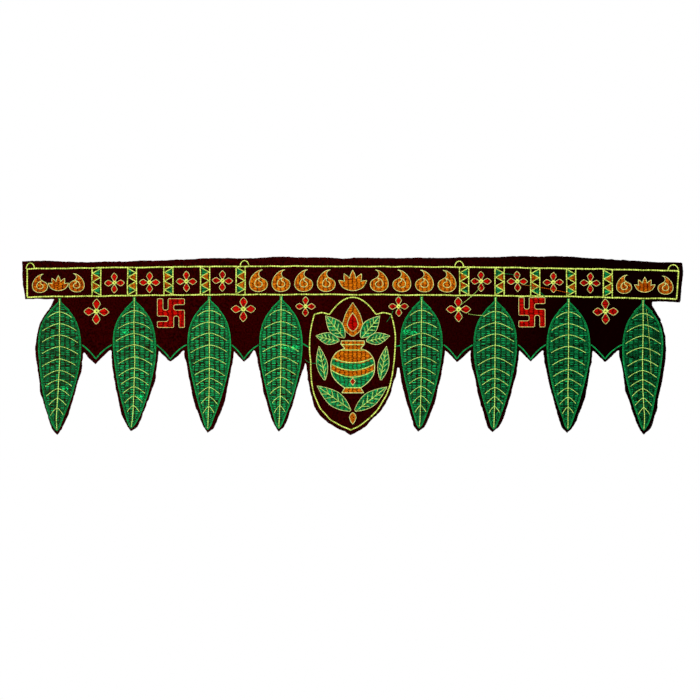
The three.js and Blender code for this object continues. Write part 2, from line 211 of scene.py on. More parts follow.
def outline_of(node_name):
    """The front outline of a solid as an ordered loop of (x, z) in mm: the sides that belong to one
    front-facing triangle only, chained end to end. The chain round the largest area is the outer one. A
    triangle faces the front when its normal leans to the viewer by more than half its length."""
    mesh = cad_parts[node_name].data
    mesh.calc_loop_triangles()
    points = np.empty(len(mesh.vertices) * 3)
    mesh.vertices.foreach_get("co", points)
    points = np.round(points.reshape(-1, 3) / MM, 3)
    corners = np.empty(len(mesh.loop_triangles) * 3, dtype=np.int32)
    mesh.loop_triangles.foreach_get("vertices", corners)
    a, b, c = (points[corners.reshape(-1, 3)[:, i]] for i in range(3))
    normal = np.cross(b - a, c - a)
    front = normal[:, 1] < FACES_FRONT * np.linalg.norm(normal, axis=1)
    seen = np.stack([a, b, c], axis=1)[front].reshape(-1, 3)[:, [0, 2]]
    flat, index = np.unique(seen, axis=0, return_inverse=True)
    fronts = index.reshape(-1, 3)
    edges = np.concatenate([fronts[:, [0, 1]], fronts[:, [1, 2]], fronts[:, [2, 0]]])
    forward = {tuple(e) for e in edges.tolist()}
    following = {s: e for s, e in forward if (e, s) not in forward}
    loops = []
    while following:
        start, at = following.popitem()
        loop = [start]
        while at in following:
            loop.append(at)
            at = following.pop(at)
        loops.append(flat[loop])
    return max(loops, key=loop_area)


def loop_area(loop):
    """The area inside a loop, by the shoelace sum."""
    x, z = loop[:, 0], loop[:, 1]
    return abs(np.dot(x, np.roll(z, -1)) - np.dot(z, np.roll(x, -1))) / 2


leaf_loop = outline_of("leaf_1")
print("leaf_1 outline", len(leaf_loop), "points,", round(loop_area(leaf_loop)), "square mm")

# %% [markdown]
# The solids are faceted, and thread isn't. A smooth curve is carried through an outline's points, but a
# point where the outline really turns, such as a leaf's tip, stays sharp. Lines are then walked in equal
# steps, because a machine makes every stitch the same length.

# %% Smooth lines in equal steps
NO_LENGTH = 1e-12
STRAIGHT_ON = 1.0
POINTS_A_SIDE = 8


def unit(vectors):
    """Each row divided by its own length."""
    return vectors / np.maximum(np.linalg.norm(vectors, axis=-1, keepdims=True), NO_LENGTH)


def even_steps(line, step, closed=False, multiple=1):
    """Points at equal distances of about `step`: x and z are read off in proportion to the distance walked."""
    line = np.concatenate([line, line[:1]]) if closed else line
    walked = np.concatenate([[0], np.cumsum(np.linalg.norm(np.diff(line, axis=0), axis=1))])
    count = multiple * max(1, round(walked[-1] / step / multiple))
    at = np.linspace(0, walked[-1], count + 1)[: count if closed else count + 1]
    return np.stack([np.interp(at, walked, line[:, k]) for k in (0, 1)], axis=1)


def turning(loop):
    """The angle in degrees by which a closed line turns at each of its points."""
    ahead = unit(np.roll(loop, -1, axis=0) - loop)
    return np.degrees(np.arccos(np.clip((ahead * np.roll(ahead, 1, axis=0)).sum(1), -1, 1)))


def smooth_loop(loop, step=0.6, corner=38.0):
    """A Hermite curve through the points: each leaves in the mean direction of its two sides, and a corner in
    the direction of its own side. Points on a straight side are left out first. A corner turns by more than
    `corner` degrees."""
    loop = loop[turning(loop) > STRAIGHT_ON]
    ahead = np.roll(loop, -1, axis=0) - loop
    side = np.linalg.norm(ahead, axis=1, keepdims=True)
    direction = ahead / side
    before = np.roll(direction, 1, axis=0)
    mean = unit(before + direction)
    sharp = turning(loop)[:, None] > corner
    leaving = np.where(sharp, direction, mean) * side
    arriving = np.roll(np.where(sharp, before, mean), -1, axis=0) * side
    t = (np.arange(POINTS_A_SIDE) / POINTS_A_SIDE)[None, :, None]
    start, end = loop[:, None], np.roll(loop, -1, axis=0)[:, None]
    curve = (2 * t**3 - 3 * t**2 + 1) * start + (t**3 - 2 * t**2 + t) * leaving[:, None]
    curve = curve + (3 * t**2 - 2 * t**3) * end + (t**3 - t**2) * arriving[:, None]
    return even_steps(curve.reshape(-1, 2), step, closed=True)


def soften(line, steps):
    """Each point becomes the mean of its neighbours up to `steps` away, which rounds every corner. The line's
    end counts as joined to its start."""
    return sum(np.roll(line, k, axis=0) for k in range(-steps, steps + 1)) / (2 * steps + 1)


print("leaf_1 outline, smooth,", len(smooth_loop(leaf_loop)), "points")

# %% [markdown]
# Everything below is made as plain arrays of points and triangles, and one helper puts them into Blender.
# It also turns the faces outwards: the volume that the triangles enclose comes out negative when they point
# inwards, and then their order is reversed. Each thread keeps a number called tint, from 0 to 1, because no
# two stitches take the dye or the light alike.

# %% Arrays into a piece
def merged(parts):
    """Several (points, faces, tint) as one: faces count on from the points before them."""
    starts = np.cumsum([0] + [len(points) for points, _, _ in parts[:-1]])
    faces = [f + start for (_, f, _), start in zip(parts, starts)]
    points, tints = (np.concatenate([part[k] for part in parts]) for k in (0, 2))
    return points, np.concatenate(faces), tints


def make_piece(name, parts, material, stands_for=()):
    """A piece from its (points, faces, tint), riding on the one body of this model."""
    points, faces, tint = merged(parts)
    a, b, c = (points[faces[:, k]] for k in range(3))
    volume = (a * np.cross(b, c)).sum() / 6
    faces = faces[:, ::-1] if volume < 0 else faces
    mesh = bpy.data.meshes.new(name)
    mesh.from_pydata(points, [], faces)
    mesh.attributes.new("tint", "FLOAT", "POINT").data.foreach_set("value", tint.astype(np.float32))
    mesh.polygons.foreach_set("use_smooth", np.full(len(faces), True))
    mesh.materials.append(material)
    piece = bpy.data.objects.new(name, mesh)
    scene.collection.objects.link(piece)
    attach(piece, "root")
    if stands_for:
        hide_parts(*stands_for)
    print(name, len(faces), "triangles, volume", round(abs(volume) / MM**3), "cubic mm")
    return piece


# %% [markdown]
# Velvet is a woven ground with a short upright pile. The pile drinks light when looked at straight on, so its
# colour is almost black maroon, and its tips glow a little at a slant. The pile is crushed here and there,
# which shows as soft patches. Towards the right end its colour is painted darker and darker, nearly black, as
# painted shade where the light falls off. The back is the bare ground, plain and dull.

# %% Velvet
def velvet_pile():
    """Maroon cotton velvet: tufts 2 to 3 mm wide, and patches of crushed pile about 60 mm wide. Towards the right
    end the pile's colour is painted darker, as painted shade. The attribute tint is 1 on the pile and 0 on the
    bare back."""
    material, output = new_material("maroon_velvet")
    place = add_node(material, "ShaderNodeTexCoord").outputs["Object"]
    tufts = add_node(material, "ShaderNodeTexNoise", {"Scale": 420.0, "Detail": 3.0}, {"Vector": place})
    contrast = add_node(
        material, "ShaderNodeMapRange", {"From Min": 0.34, "From Max": 0.68}, {"Value": tufts.outputs["Fac"]}
    )
    pile = add_node(
        material,
        "ShaderNodeMixRGB",
        {"Color1": linear("#100000"), "Color2": linear("#2f0101")},
        {"Fac": contrast.outputs["Result"]},
    )
    # Painted shade: the pile's colour is mixed towards near black #060000 from x = 0 to the right end, for light
    # that falls off to the right.
    axes = add_node(material, "ShaderNodeSeparateXYZ", links={"Vector": place})
    painted_shade_to_right = add_node(
        material,
        "ShaderNodeMapRange",
        {"From Min": 0.0, "From Max": 0.33, "To Max": 0.95},
        {"Value": axes.outputs["X"]},
    )
    shaded = add_node(
        material,
        "ShaderNodeMixRGB",
        {"Color2": linear("#060000")},
        {"Fac": painted_shade_to_right.outputs["Result"], "Color1": pile.outputs["Color"]},
    )
    side = add_node(material, "ShaderNodeAttribute", attribute_name="tint")
    cloth_colour = add_node(
        material,
        "ShaderNodeMixRGB",
        {"Color1": linear("#2e1110")},
        {"Fac": side.outputs["Fac"], "Color2": shaded.outputs["Color"]},
    )
    crush = add_node(material, "ShaderNodeTexNoise", {"Scale": 16.0, "Detail": 3.0}, {"Vector": place})
    fine = add_node(
        material, "ShaderNodeBump", {"Strength": 0.5, "Distance": 0.0004}, {"Height": tufts.outputs["Fac"]}
    )
    broad = add_node(
        material,
        "ShaderNodeBump",
        {"Strength": 0.25, "Distance": 0.004},
        {"Height": crush.outputs["Fac"], "Normal": fine.outputs["Normal"]},
    )
    cloth = add_node(
        material,
        "ShaderNodeBsdfPrincipled",
        {
            "Roughness": 1.0,
            "Specular IOR Level": 0.0,
            "Sheen Weight": 0.1,
            "Sheen Roughness": 0.4,
            "Sheen Tint": linear("#6a100c"),
        },
        {"Base Color": cloth_colour.outputs["Color"], "Normal": broad.outputs["Normal"]},
    )
    return finish_material(material, output, cloth)


VELVET = velvet_pile()

# %% [markdown]
# The embroidery is rayon, a bright machine thread twisted from fine smooth filaments. Dyed filaments colour
# their own shine, so the highlight takes the thread's hue, and the twist breaks it up. Eight dye lots are on
# this cloth: the gold of the veins is a greener one than the gold of the band, and the rims of the leaves, their
# filling and the patches sewn twice are three greens.

# %% Thread
def rayon(name, dark, light):
    """Dyed rayon thread: the tint of each stitch mixes a darker and a lighter tone of the same dye. The twist
    is a noise of 0.6 mm, about the length of one turn."""
    material, output = new_material(name)
    place = add_node(material, "ShaderNodeTexCoord").outputs["Object"]
    tint = add_node(material, "ShaderNodeAttribute", attribute_name="tint")
    dye = add_node(
        material,
        "ShaderNodeMixRGB",
        {"Color1": linear(dark), "Color2": linear(light)},
        {"Fac": tint.outputs["Fac"]},
    )
    twist = add_node(material, "ShaderNodeTexNoise", {"Scale": 1600.0, "Detail": 1.0}, {"Vector": place})
    bump = add_node(
        material, "ShaderNodeBump", {"Strength": 0.4, "Distance": 0.0002}, {"Height": twist.outputs["Fac"]}
    )
    thread = add_node(
        material,
        "ShaderNodeBsdfPrincipled",
        {"Roughness": 0.4, "Specular IOR Level": 0.35, "Specular Tint": linear(light)},
        {"Base Color": dye.outputs["Color"], "Normal": bump.outputs["Normal"]},
    )
    return finish_material(material, output, thread)


GOLD = rayon("gold_rayon", "#66761c", "#e9ff78")
VEIN_GOLD = rayon("vein_gold_rayon", "#5e8424", "#d8ff84")
PALE = rayon("pale_gold_rayon", "#7f8a3c", "#e6f294")
LEAF_GREEN = rayon("leaf_green_rayon", "#02361a", "#1cd074")
FRESH_GREEN = rayon("fresh_green_rayon", "#0c8c40", "#22ff8c")
RIM_GREEN = rayon("rim_green_rayon", "#065428", "#16a653")
RED = rayon("red_rayon", "#860202", "#f01406")
ORANGE = rayon("orange_rayon", "#a42c04", "#ff9410")
print("materials", len(bpy.data.materials))

# %% [markdown]
# The velvet was cut by hand, close round the finished embroidery. Its outline comes from the solid. Round each
# place where the scissors strayed it is pulled aside, most of all at the shield, whose lower left side bulges.
# The narrow slit beside the shield is cut to a point. Last, the whole edge gets a slow wander and a tremble.

# %% Cutting the velvet
WALK_STEP = 1.0
CUT_STEP = 2.0
NOTCH = (
    (-82.1, -194.0), (-79.4, -186.0), (-77.0, -178.2), (-75.2, -172.4), (-73.4, -166.5),
    (-71.4, -163.0), (-70.1, -159.0), (-68.9, -154.0), (-68.3, -159.0), (-67.6, -167.0),
)
NOTCH_LEFT, NOTCH_MIDDLE, NOTCH_RIGHT = -86.0, -72.5, -65.9
SLIT_CEILING = -140.0
OVER_THE_FOOT = 1.0
STRAY_REACH = 11.0
STRAYS = (
    (-454, -196, -2.4, 0.0), (-420, -240, -1.6, 0.0), (-400, -162, 2.6, 0.0),
    (-390, -140, 1.5, -4.2), (-377, -149, -0.5, -3.6), (-334, -231, -1.6, 0.0),
    (-292, -178, 2.6, 0.0), (-243, -142, -3.0, 0.0), (-194, -222, 1.6, 0.0),
    (-189, -206, 1.4, 0.0), (-139, -133, -5.0, 0.0), (-137, -152, -1.6, 0.0),
    (-128, -196, -1.5, 0.0), (94, -248, -1.8, 0.0), (119, -205, 1.6, 0.0),
    (175, -141, -2.0, 0.0), (176, -156, -1.8, 0.0), (201, -248, -2.0, 0.0),
    (236, -169, 1.6, 0.0), (281, -137, -2.2, 0.0), (282, -152, -1.8, 0.0),
    (309, -248, -2.0, 0.0), (341, -207, 1.6, 0.0), (390, -140, -3.0, 0.0),
    (402, -196, -2.4, 0.0), (433, -244, 3.0, 0.0), (440, -222, 2.0, 0.0),
    (-58, -205, -1.4, -0.8), (-51, -216, -2.5, -2.4), (-43, -226, -2.7, -3.9),
    (-32, -235, -1.9, -4.6), (-20, -244, -0.9, -4.0), (-9, -251, 0.0, -1.6),
    (5, -252, 0.1, -2.2), (18, -242, 1.0, -3.3), (28, -231, 0.1, -1.1),
    (37, -222, 1.1, -1.6), (60, -186, -1.8, 0.0),
)
WANDER, WANDER_STEPS, MOST_WANDER = 1.6, 6, 0.7
TREMBLE = 0.12
CUT_INSIDE = 0.15


def normals_out(loop):
    """The outward direction at each point of an anticlockwise line: its tangent turned to the right."""
    tangent = unit(np.roll(loop, -1, axis=0) - np.roll(loop, 1, axis=0))
    return np.stack([tangent[:, 1], -tangent[:, 0]], axis=1)


def anticlockwise(loop):
    """The same closed line, turned round if its signed area is negative."""
    x, z = loop[:, 0], loop[:, 1]
    return loop if np.dot(x, np.roll(z, -1)) > np.dot(z, np.roll(x, -1)) else loop[::-1]


def drawn_inwards(loop, by):
    """A closed line moved inwards, square to itself."""
    loop = anticlockwise(loop)
    return loop - normals_out(loop) * by


def strayed(line, strays):
    """A line pulled aside round each place (x, z): by (dx, dz) times e to the minus squared distance in
    reaches."""
    for x, z, *stray in strays:
        far = ((line - [x, z]) ** 2).sum(1) / STRAY_REACH**2
        line = line + np.exp(-far)[:, None] * stray
    return line


def cut_astray(loop):
    """The outline with its points in the narrow slit exchanged for those of the notch, and with each place
    where the scissors strayed pulled aside. The notch starts lower on its left leg than on its right one."""
    loop = anticlockwise(even_steps(loop, WALK_STEP, closed=True))
    x, z = loop.T
    foot = np.where(x < NOTCH_MIDDLE, NOTCH[0][1], NOTCH[-1][1]) + OVER_THE_FOOT
    slit = (x > NOTCH_LEFT) & (x < NOTCH_RIGHT) & (z > foot) & (z < SLIT_CEILING)
    start = np.flatnonzero(slit)[0]
    loop = np.insert(loop[~slit], start, NOTCH, axis=0)
    return even_steps(strayed(loop, STRAYS), CUT_STEP, closed=True)


def hand_cut(loop):
    """The outline with a slow wander of up to 0.7 mm and a fine tremble, as scissors leave it."""
    slow = soften(rng.normal(0, WANDER, (len(loop), 1)), WANDER_STEPS)
    fine = rng.normal(0, TREMBLE, (len(loop), 1))
    return drawn_inwards(loop, CUT_INSIDE - np.clip(slow, -MOST_WANDER, MOST_WANDER) - fine)


cut_edge = hand_cut(cut_astray(outline_of("velvet_panel")))
print("cut edge", len(cut_edge), "points,", round(loop_area(cut_edge) / 100), "square cm")

# %% [markdown]
# The sheet is filled with a loose grid of points, joined into triangles by a Delaunay triangulation, which
# keeps the cut edge as its border. Front and back are the same net 2 mm apart. Four rings of points make the
# edge round, since pile spreads where it is cut.

# %% Velvet sheet
GRID_STEP = 7.0
GRID_MARGIN = 2.0
EDGE_ROUND = 0.5
EDGE_DEPTH = 0.6
KEEP_INSIDE = 1
SAME_POINT = 1e-5
PILE_TINT, EDGE_TINT, BACK_TINT = 1.0, 0.6, 0.0


def level_crossings(a, b, z):
    """Whether the sides from a to b cross each level z, and at which x, by proportion on the side."""
    crosses = (a[:, 1] > z) != (b[:, 1] > z)
    share = (z - a[:, 1]) / np.where(b[:, 1] == a[:, 1], 1.0, b[:, 1] - a[:, 1])
    return crosses, a[:, 0] + share * (b[:, 0] - a[:, 0])


def inside(points, loop):
    """Whether each point is inside a closed line: a ray to its right then crosses the line an odd number of
    times."""
    crosses, x = level_crossings(loop, np.roll(loop, -1, axis=0), points[:, 1:])
    return (crosses & (x > points[:, :1])).sum(1) % 2 == 1


def flat_net(rim):
    """Points and triangles of the sheet laid flat, and the place of each rim point among the net's points."""
    low, high = cut_edge.min(0), cut_edge.max(0)
    x, z = np.meshgrid(*(np.arange(low[k] + GRID_MARGIN, high[k], GRID_STEP) for k in (0, 1)))
    x = x + (np.arange(len(x)) % 2)[:, None] * GRID_STEP / 2
    grid = np.stack([x.ravel(), z.ravel()], axis=1)
    grid = grid[inside(grid, drawn_inwards(cut_edge, GRID_STEP * 0.5))]
    ring = np.arange(len(rim))
    around = np.stack([ring, np.roll(ring, -1)], axis=1)
    flat = [Vector(p) for p in np.concatenate([rim, grid]).tolist()]
    net, _, triangles, origins, _, _ = delaunay_2d_cdt(flat, around.tolist(), [], KEEP_INSIDE, SAME_POINT)
    net, triangles = np.array([tuple(p) for p in net]), np.array(triangles)
    a, b, c = (net[triangles[:, k]] for k in range(3))
    if np.cross(b - a, c - a).sum() < 0:
        triangles = triangles[:, ::-1]
    came_from = np.array([o[0] for o in origins])
    place = np.empty(len(rim), dtype=int)
    on_rim = came_from < len(rim)
    place[came_from[on_rim]] = np.flatnonzero(on_rim)
    return net, triangles, place


def velvet_sheet():
    """Points, faces and tint of the sheet: the flat net laid on the wave twice, and between the two three
    bands round the edge, of two triangles for each step."""
    rim = drawn_inwards(cut_edge, EDGE_ROUND)
    net, triangles, place = flat_net(rim)
    count, n = len(net), len(rim)
    ring = np.arange(n)
    edges = [on_front(cut_edge, -EDGE_DEPTH), on_back(cut_edge, -EDGE_DEPTH)]
    points = np.concatenate([on_front(net), on_back(net), *edges])
    rings = [place, 2 * count + ring, 2 * count + n + ring, count + place]
    faces = [triangles, triangles[:, ::-1] + count]
    for near, far in zip(rings[:-1], rings[1:]):
        faces.append(np.stack([near, far, np.roll(far, -1)], axis=1))
        faces.append(np.stack([near, np.roll(far, -1), np.roll(near, -1)], axis=1))
    shares = ((count, PILE_TINT), (count, BACK_TINT), (n, PILE_TINT), (n, EDGE_TINT))
    return points, np.concatenate(faces), np.concatenate([np.full(*share) for share in shares])


velvet = make_piece("velvet", [velvet_sheet()], VELVET, ["velvet_panel"])

# %% [markdown]
# Two kinds of stitch make the picture. A line is a chain stitch, loops pulled through each other, so that it
# looks like a row of small beads. It is built as a tube that swells and narrows once a stitch, with painted
# shade where one loop dives into the next and a painted highlight on the crest of each bead. Under the cloth
# the same thread runs on in plain dashes, so the routes are kept for the back.

# %% Chain stitch
RINGS_A_STITCH = 4
SIDES = 6
STITCH_SWELL = np.array([0.52, 0.94, 1.05, 0.94])
# Tint added to each ring of a stitch: painted shade at the pinch and a painted highlight at the crest.
BEAD_PAINTED_SHADE_AND_HIGHLIGHT = np.array([-0.6, 0.0, 0.15, 0.0])
FLATNESS = 0.62
END_SWELL = 0.4
SHADE_SPREAD = 0.2
back_lines = {"gold_thread": [], "green_thread": [], "red_thread": [], "orange_thread": []}


def cloth_normal(points):
    """The direction that the front faces at (x, z), square to the wave's slopes over 1 mm."""
    x, z = points[..., 0], points[..., 1]
    slope_x = wave_at(x + 0.5, z) - wave_at(x - 0.5, z)
    slope_z = wave_at(x, z + 0.5) - wave_at(x, z - 0.5)
    return unit(np.stack([slope_x, -np.ones_like(x), slope_z], axis=-1))


def chain(line, half_width, lift, closed=False, pitch=2.5, shade=0.6, slot="gold_thread"):
    """A row of chain stitches along a line in mm, as (points, faces, tint). Each ring is an ellipse: the
    cosine of the angle across the line and the sine, flattened, away from the cloth."""
    line = even_steps(line, pitch / RINGS_A_STITCH, closed, RINGS_A_STITCH if closed else 1)
    back_lines[slot].append(np.concatenate([line, line[:1]]) if closed else line)
    n = len(line)
    centre = on_front(line, lift)
    ahead = np.roll(centre, -1, axis=0) - np.roll(centre, 1, axis=0)
    if not closed:
        ahead[0], ahead[-1] = centre[1] - centre[0], centre[-1] - centre[-2]
    up = cloth_normal(line)
    across = unit(np.cross(unit(ahead), up))
    phase = np.arange(n) % RINGS_A_STITCH
    swell = STITCH_SWELL[phase]
    if not closed:
        swell[[0, -1]] = END_SWELL
    angle = np.linspace(0, 2 * np.pi, SIDES, endpoint=False)[None, :, None]
    outwards = np.cos(angle) * across[:, None] + FLATNESS * np.sin(angle) * up[:, None]
    points = (centre[:, None] + (half_width * MM * swell)[:, None, None] * outwards).reshape(-1, 3)
    ring, side = np.meshgrid(np.arange(n if closed else n - 1), np.arange(SIDES), indexing="ij")
    a, b = ring * SIDES + side, ring * SIDES + (side + 1) % SIDES
    c, d = (ring + 1) % n * SIDES + (side + 1) % SIDES, (ring + 1) % n * SIDES + side
    faces = [np.stack([a, b, c], axis=-1).reshape(-1, 3), np.stack([a, c, d], axis=-1).reshape(-1, 3)]
    stitch = rng.normal(shade, SHADE_SPREAD, n // RINGS_A_STITCH + 2)[np.arange(n) // RINGS_A_STITCH]
    # Each ring's tint carries the painted shade at the pinch and the painted highlight at the crest.
    tint = np.repeat(stitch + BEAD_PAINTED_SHADE_AND_HIGHLIGHT[phase], SIDES)
    if not closed:
        side = np.arange(SIDES)
        points = np.concatenate([points, centre[[0, -1]]])
        tint = np.append(tint, [shade, shade])
        last = (n - 1) * SIDES
        faces.append(np.stack([np.full(SIDES, n * SIDES), (side + 1) % SIDES, side], axis=1))
        faces.append(np.stack([np.full(SIDES, n * SIDES + 1), last + side, last + (side + 1) % SIDES], axis=1))
    return points, np.concatenate(faces), np.clip(tint, 0, 1)


print("faces in one chain stitch", 2 * RINGS_A_STITCH * SIDES)

# %% [markdown]
# A filling is many short straight stitches in rows. The machine lays them in columns and starts each column
# anew, so a dark, ragged seam of velvet stays open between two columns. The rows of an outline are found by
# where its sides cross each level. For a slanted filling the outline is turned first, and the rows turned back.

# %% Rows of a filling
SHORTEST_STITCH = 0.9
MEAN_TO_SPREAD = 1.25
MOST_BACK = 0.3
ROW_WANDER = 0.12


def rows_across(loops, gap):
    """The stretches of level rows, `gap` apart, that lie inside a set of closed lines, and their heights.
    The crossings are sorted along each row and taken in pairs."""
    a = np.concatenate(loops)
    b = np.concatenate([np.roll(loop, -1, axis=0) for loop in loops])
    z = np.arange(a[:, 1].min() + gap / 2, a[:, 1].max(), gap)[:, None]
    crosses, x = level_crossings(a, b, z)
    x = np.sort(np.where(crosses, x, np.inf), axis=1)
    most = 2 * (int(crosses.sum(1).max()) // 2)
    pairs = x[:, :most].reshape(len(z), -1, 2)
    whole = np.isfinite(pairs[..., 1])
    return pairs[whole], np.broadcast_to(z, whole.shape)[whole]


def turned(points, angle):
    """Points turned anticlockwise about the origin by an angle in radians."""
    c, s = math.cos(angle), math.sin(angle)
    return points @ np.array([[c, s], [-s, c]])


def filling_lines(loops, gap, column, angle=0.0, shift=0.0, missing=0.0, ragged=0.12, sway=0.0):
    """Start and end of each filling stitch: the rows inside the outline, cut into columns. A seam lies up to
    `sway` off in each row, and each end stays back from it by a random amount, `ragged` on average."""
    spans, rows = rows_across([turned(loop, -angle) for loop in loops], gap)
    first = (math.floor(spans.min() / column) - 1) * column + shift % column
    seams = np.arange(first, spans.max() + column, column)
    seams = seams[None] + rng.uniform(-sway, sway, (len(spans), len(seams)))
    left = np.maximum(spans[:, :1], seams[:, :-1])
    right = np.minimum(spans[:, 1:], seams[:, 1:])
    kept = (right - left > SHORTEST_STITCH) & (rng.random(left.shape) > missing)
    left, right = left[kept], right[kept]
    z = np.broadcast_to(rows[:, None], kept.shape)[kept]
    back = np.abs(rng.normal(0, ragged * MEAN_TO_SPREAD, (2, len(z))))
    back = np.minimum(back, MOST_BACK * (right - left))
    wander = rng.normal(0, ROW_WANDER * gap, (2, len(z)))
    starts = np.stack([left + back[0], z + wander[0]], axis=1)
    ends = np.stack([right - back[1], z + wander[1]], axis=1)
    return turned(starts, angle), turned(ends, angle)


print("leaf_1 in rows 1 mm apart:", len(rows_across([leaf_loop], 1.0)[1]))

# %% [markdown]
# A straight stitch is a spindle of eight points and twelve faces. Its ends dive into the cloth, and two rings
# of three points hold its middle up in a low arch. More faces wouldn't show, and there are many thousands of
# stitches. Their lines are kept, because the same thread runs on under the cloth.

# %% Straight stitches
SPINDLE = np.array(
    [[0, 1, 2], [0, 2, 3], [0, 3, 1]]
    + [[1, 4, 5], [1, 5, 2], [2, 5, 6], [2, 6, 3], [3, 6, 4], [3, 4, 1]]
    + [[4, 7, 5], [5, 7, 6], [6, 7, 4]]
)
SPINDLE_POINTS = 8
SPINDLE_ANGLES = (90, 210, 330)
SPINDLE_SHARES = (0.2, 0.8)
SPINDLE_FLATNESS = 0.8
END_LIFT = 0.1
FILLING_GAP, FILLING_COLUMN = 1.0, 6.2
FILLING_ROWS = {"ragged": 0.0, "sway": 1.3}
FILLING_HALF, FILLING_LIFT, FILLING_SPREAD = 0.46, 0.28, 0.3
NO_SEAMS = 20
back_stitches = {slot: [] for slot in back_lines}
fillings = {slot: [] for slot in back_lines}


def straight_stitches(lines, half_width, lift, shade=0.5, spread=0.24, behind=False):
    """A spindle for each stitch: end points near the cloth, and rings of three points a fifth of the way in
    from both ends, lifted so that the stitch arches."""
    starts, ends = lines
    lay, facing = (on_back, -1) if behind else (on_front, 1)
    a, b = lay(starts, END_LIFT), lay(ends, END_LIFT)
    up = cloth_normal((starts + ends) / 2) * facing
    across = unit(np.cross(unit(b - a), up))
    angle = np.radians(SPINDLE_ANGLES)[None, :, None]
    outwards = np.cos(angle) * across[:, None] + SPINDLE_FLATNESS * np.sin(angle) * up[:, None]
    raised = up[:, None] * lift * MM
    round_it = half_width * MM * outwards
    rings = [a[:, None] + (b - a)[:, None] * share + raised + round_it for share in SPINDLE_SHARES]
    points = np.concatenate([a[:, None], *rings, b[:, None]], axis=1).reshape(-1, 3)
    faces = (SPINDLE[None] + SPINDLE_POINTS * np.arange(len(starts))[:, None, None]).reshape(-1, 3)
    tint = np.clip(np.repeat(rng.normal(shade, spread, len(starts)), SPINDLE_POINTS), 0, 1)
    return points, faces, tint


def filled(
    loops,
    slot,
    gap=FILLING_GAP,
    column=FILLING_COLUMN,
    half_width=FILLING_HALF,
    lift=FILLING_LIFT,
    shift=0.0,
    shade=0.6,
):
    """A filling of closed lines with straight stitches, whose lines are kept for the back. A column wider than
    the motif leaves no seams in it."""
    lines = filling_lines(loops, gap, column, shift=shift, **FILLING_ROWS)
    back_stitches[slot].append(lines)
    return straight_stitches(lines, half_width, lift, shade, FILLING_SPREAD)


print("faces in one straight stitch", len(SPINDLE))


# %% [markdown]
# The border is gold chain stitch. Two long lines run along the band and bend with it, ten narrow strips stand
# between them, each with a zigzag, and four small arches stand on the upper line. The triangles between
# zigzag and uprights are green, orange, bare, orange and green, from the top down. Each kind of line has its
# own half width and height over the cloth, in mm.

# %% Border lines
BAND_TOP, BAND_BOTTOM = -12.3, -53.5
SAG_MIDDLE, SAG_TILT = 5.3, 1.35
HALF_WIDTH = 483.0
BAND_LEFT, BAND_RIGHT_TOP, BAND_RIGHT_BOTTOM = -475.3, 475.9, 473.0
BAND_POINTS = 120
STRIP_PLACES = (-374.5, -322.3, -269.2, -215.5, -163.7, 162.8, 214.5, 266.5, 319.0, 372.5)
STRIP_STARTS_RIGHT = (True, False, True, False, False, True, False, True, False, False)
STRIP_WIDTH = 13.2
STRIP_COLOURS = ("green_thread", "orange_thread", None, "orange_thread", "green_thread")
ZIGZAG_TURNS, ZIGZAG_SHARE, ZIGZAG_GAP = 7, 0.86, 1.5
TRIANGLE_DRAWN_IN = 0.12
ARCHES = ((-470.7, 6.0), (-158.0, 6.4), (155.5, 6.4), (468.0, 7.6))
ARCH_RISE, ARCH_POINTS = 8.6, 14
BORDER_LINE = {"half_width": 1.08, "lift": 0.55}
UPRIGHT_LINE = {"half_width": 0.9, "lift": 0.5}
ZIGZAG_LINE = {"half_width": 0.68, "lift": 0.55, "pitch": 2.2}
ARCH_LINE = {"half_width": 0.8, "lift": 0.5}
TRIANGLE_FILLING = {"column": 14, "shade": 0.34}
WAVER_STEP, WAVER_SPREAD, WAVER_SOFTNESS = 2.0, 2.2, 4
BAND_WAVER, SHORT_WAVER, RIB_WAVER = 0.3, 0.2, 0.15


def points_of(*pairs):
    """Points (x, z) in mm as an array."""
    return np.array(pairs, dtype=float)


def band_line(x, level):
    """A line of the band: its level at mid width, less a square and a slope of x."""
    share = np.asarray(x, dtype=float) / HALF_WIDTH
    return level - (SAG_MIDDLE * share**2 + SAG_TILT * share)


def long_line(right, level):
    """Points along a level of the band, from its left end to the right one."""
    x = np.linspace(BAND_LEFT, right, BAND_POINTS)
    return np.stack([x, band_line(x, level)], axis=1)


def wavering(line, size):
    """A line as a hand guides it under the needle: a slow random wander to either side, but fixed ends."""
    line = even_steps(line, WAVER_STEP)
    wander = soften(rng.normal(0, size * WAVER_SPREAD, line.shape), WAVER_SOFTNESS)
    wander[[0, -1]] = 0
    return line + wander


top_line, bottom_line = long_line(BAND_RIGHT_TOP, BAND_TOP), long_line(BAND_RIGHT_BOTTOM, BAND_BOTTOM)
border = [chain(wavering(line, BAND_WAVER), **BORDER_LINE) for line in (top_line, bottom_line)]
border += [chain(np.stack([top_line[k], bottom_line[k]]), **BORDER_LINE) for k in (0, -1)]

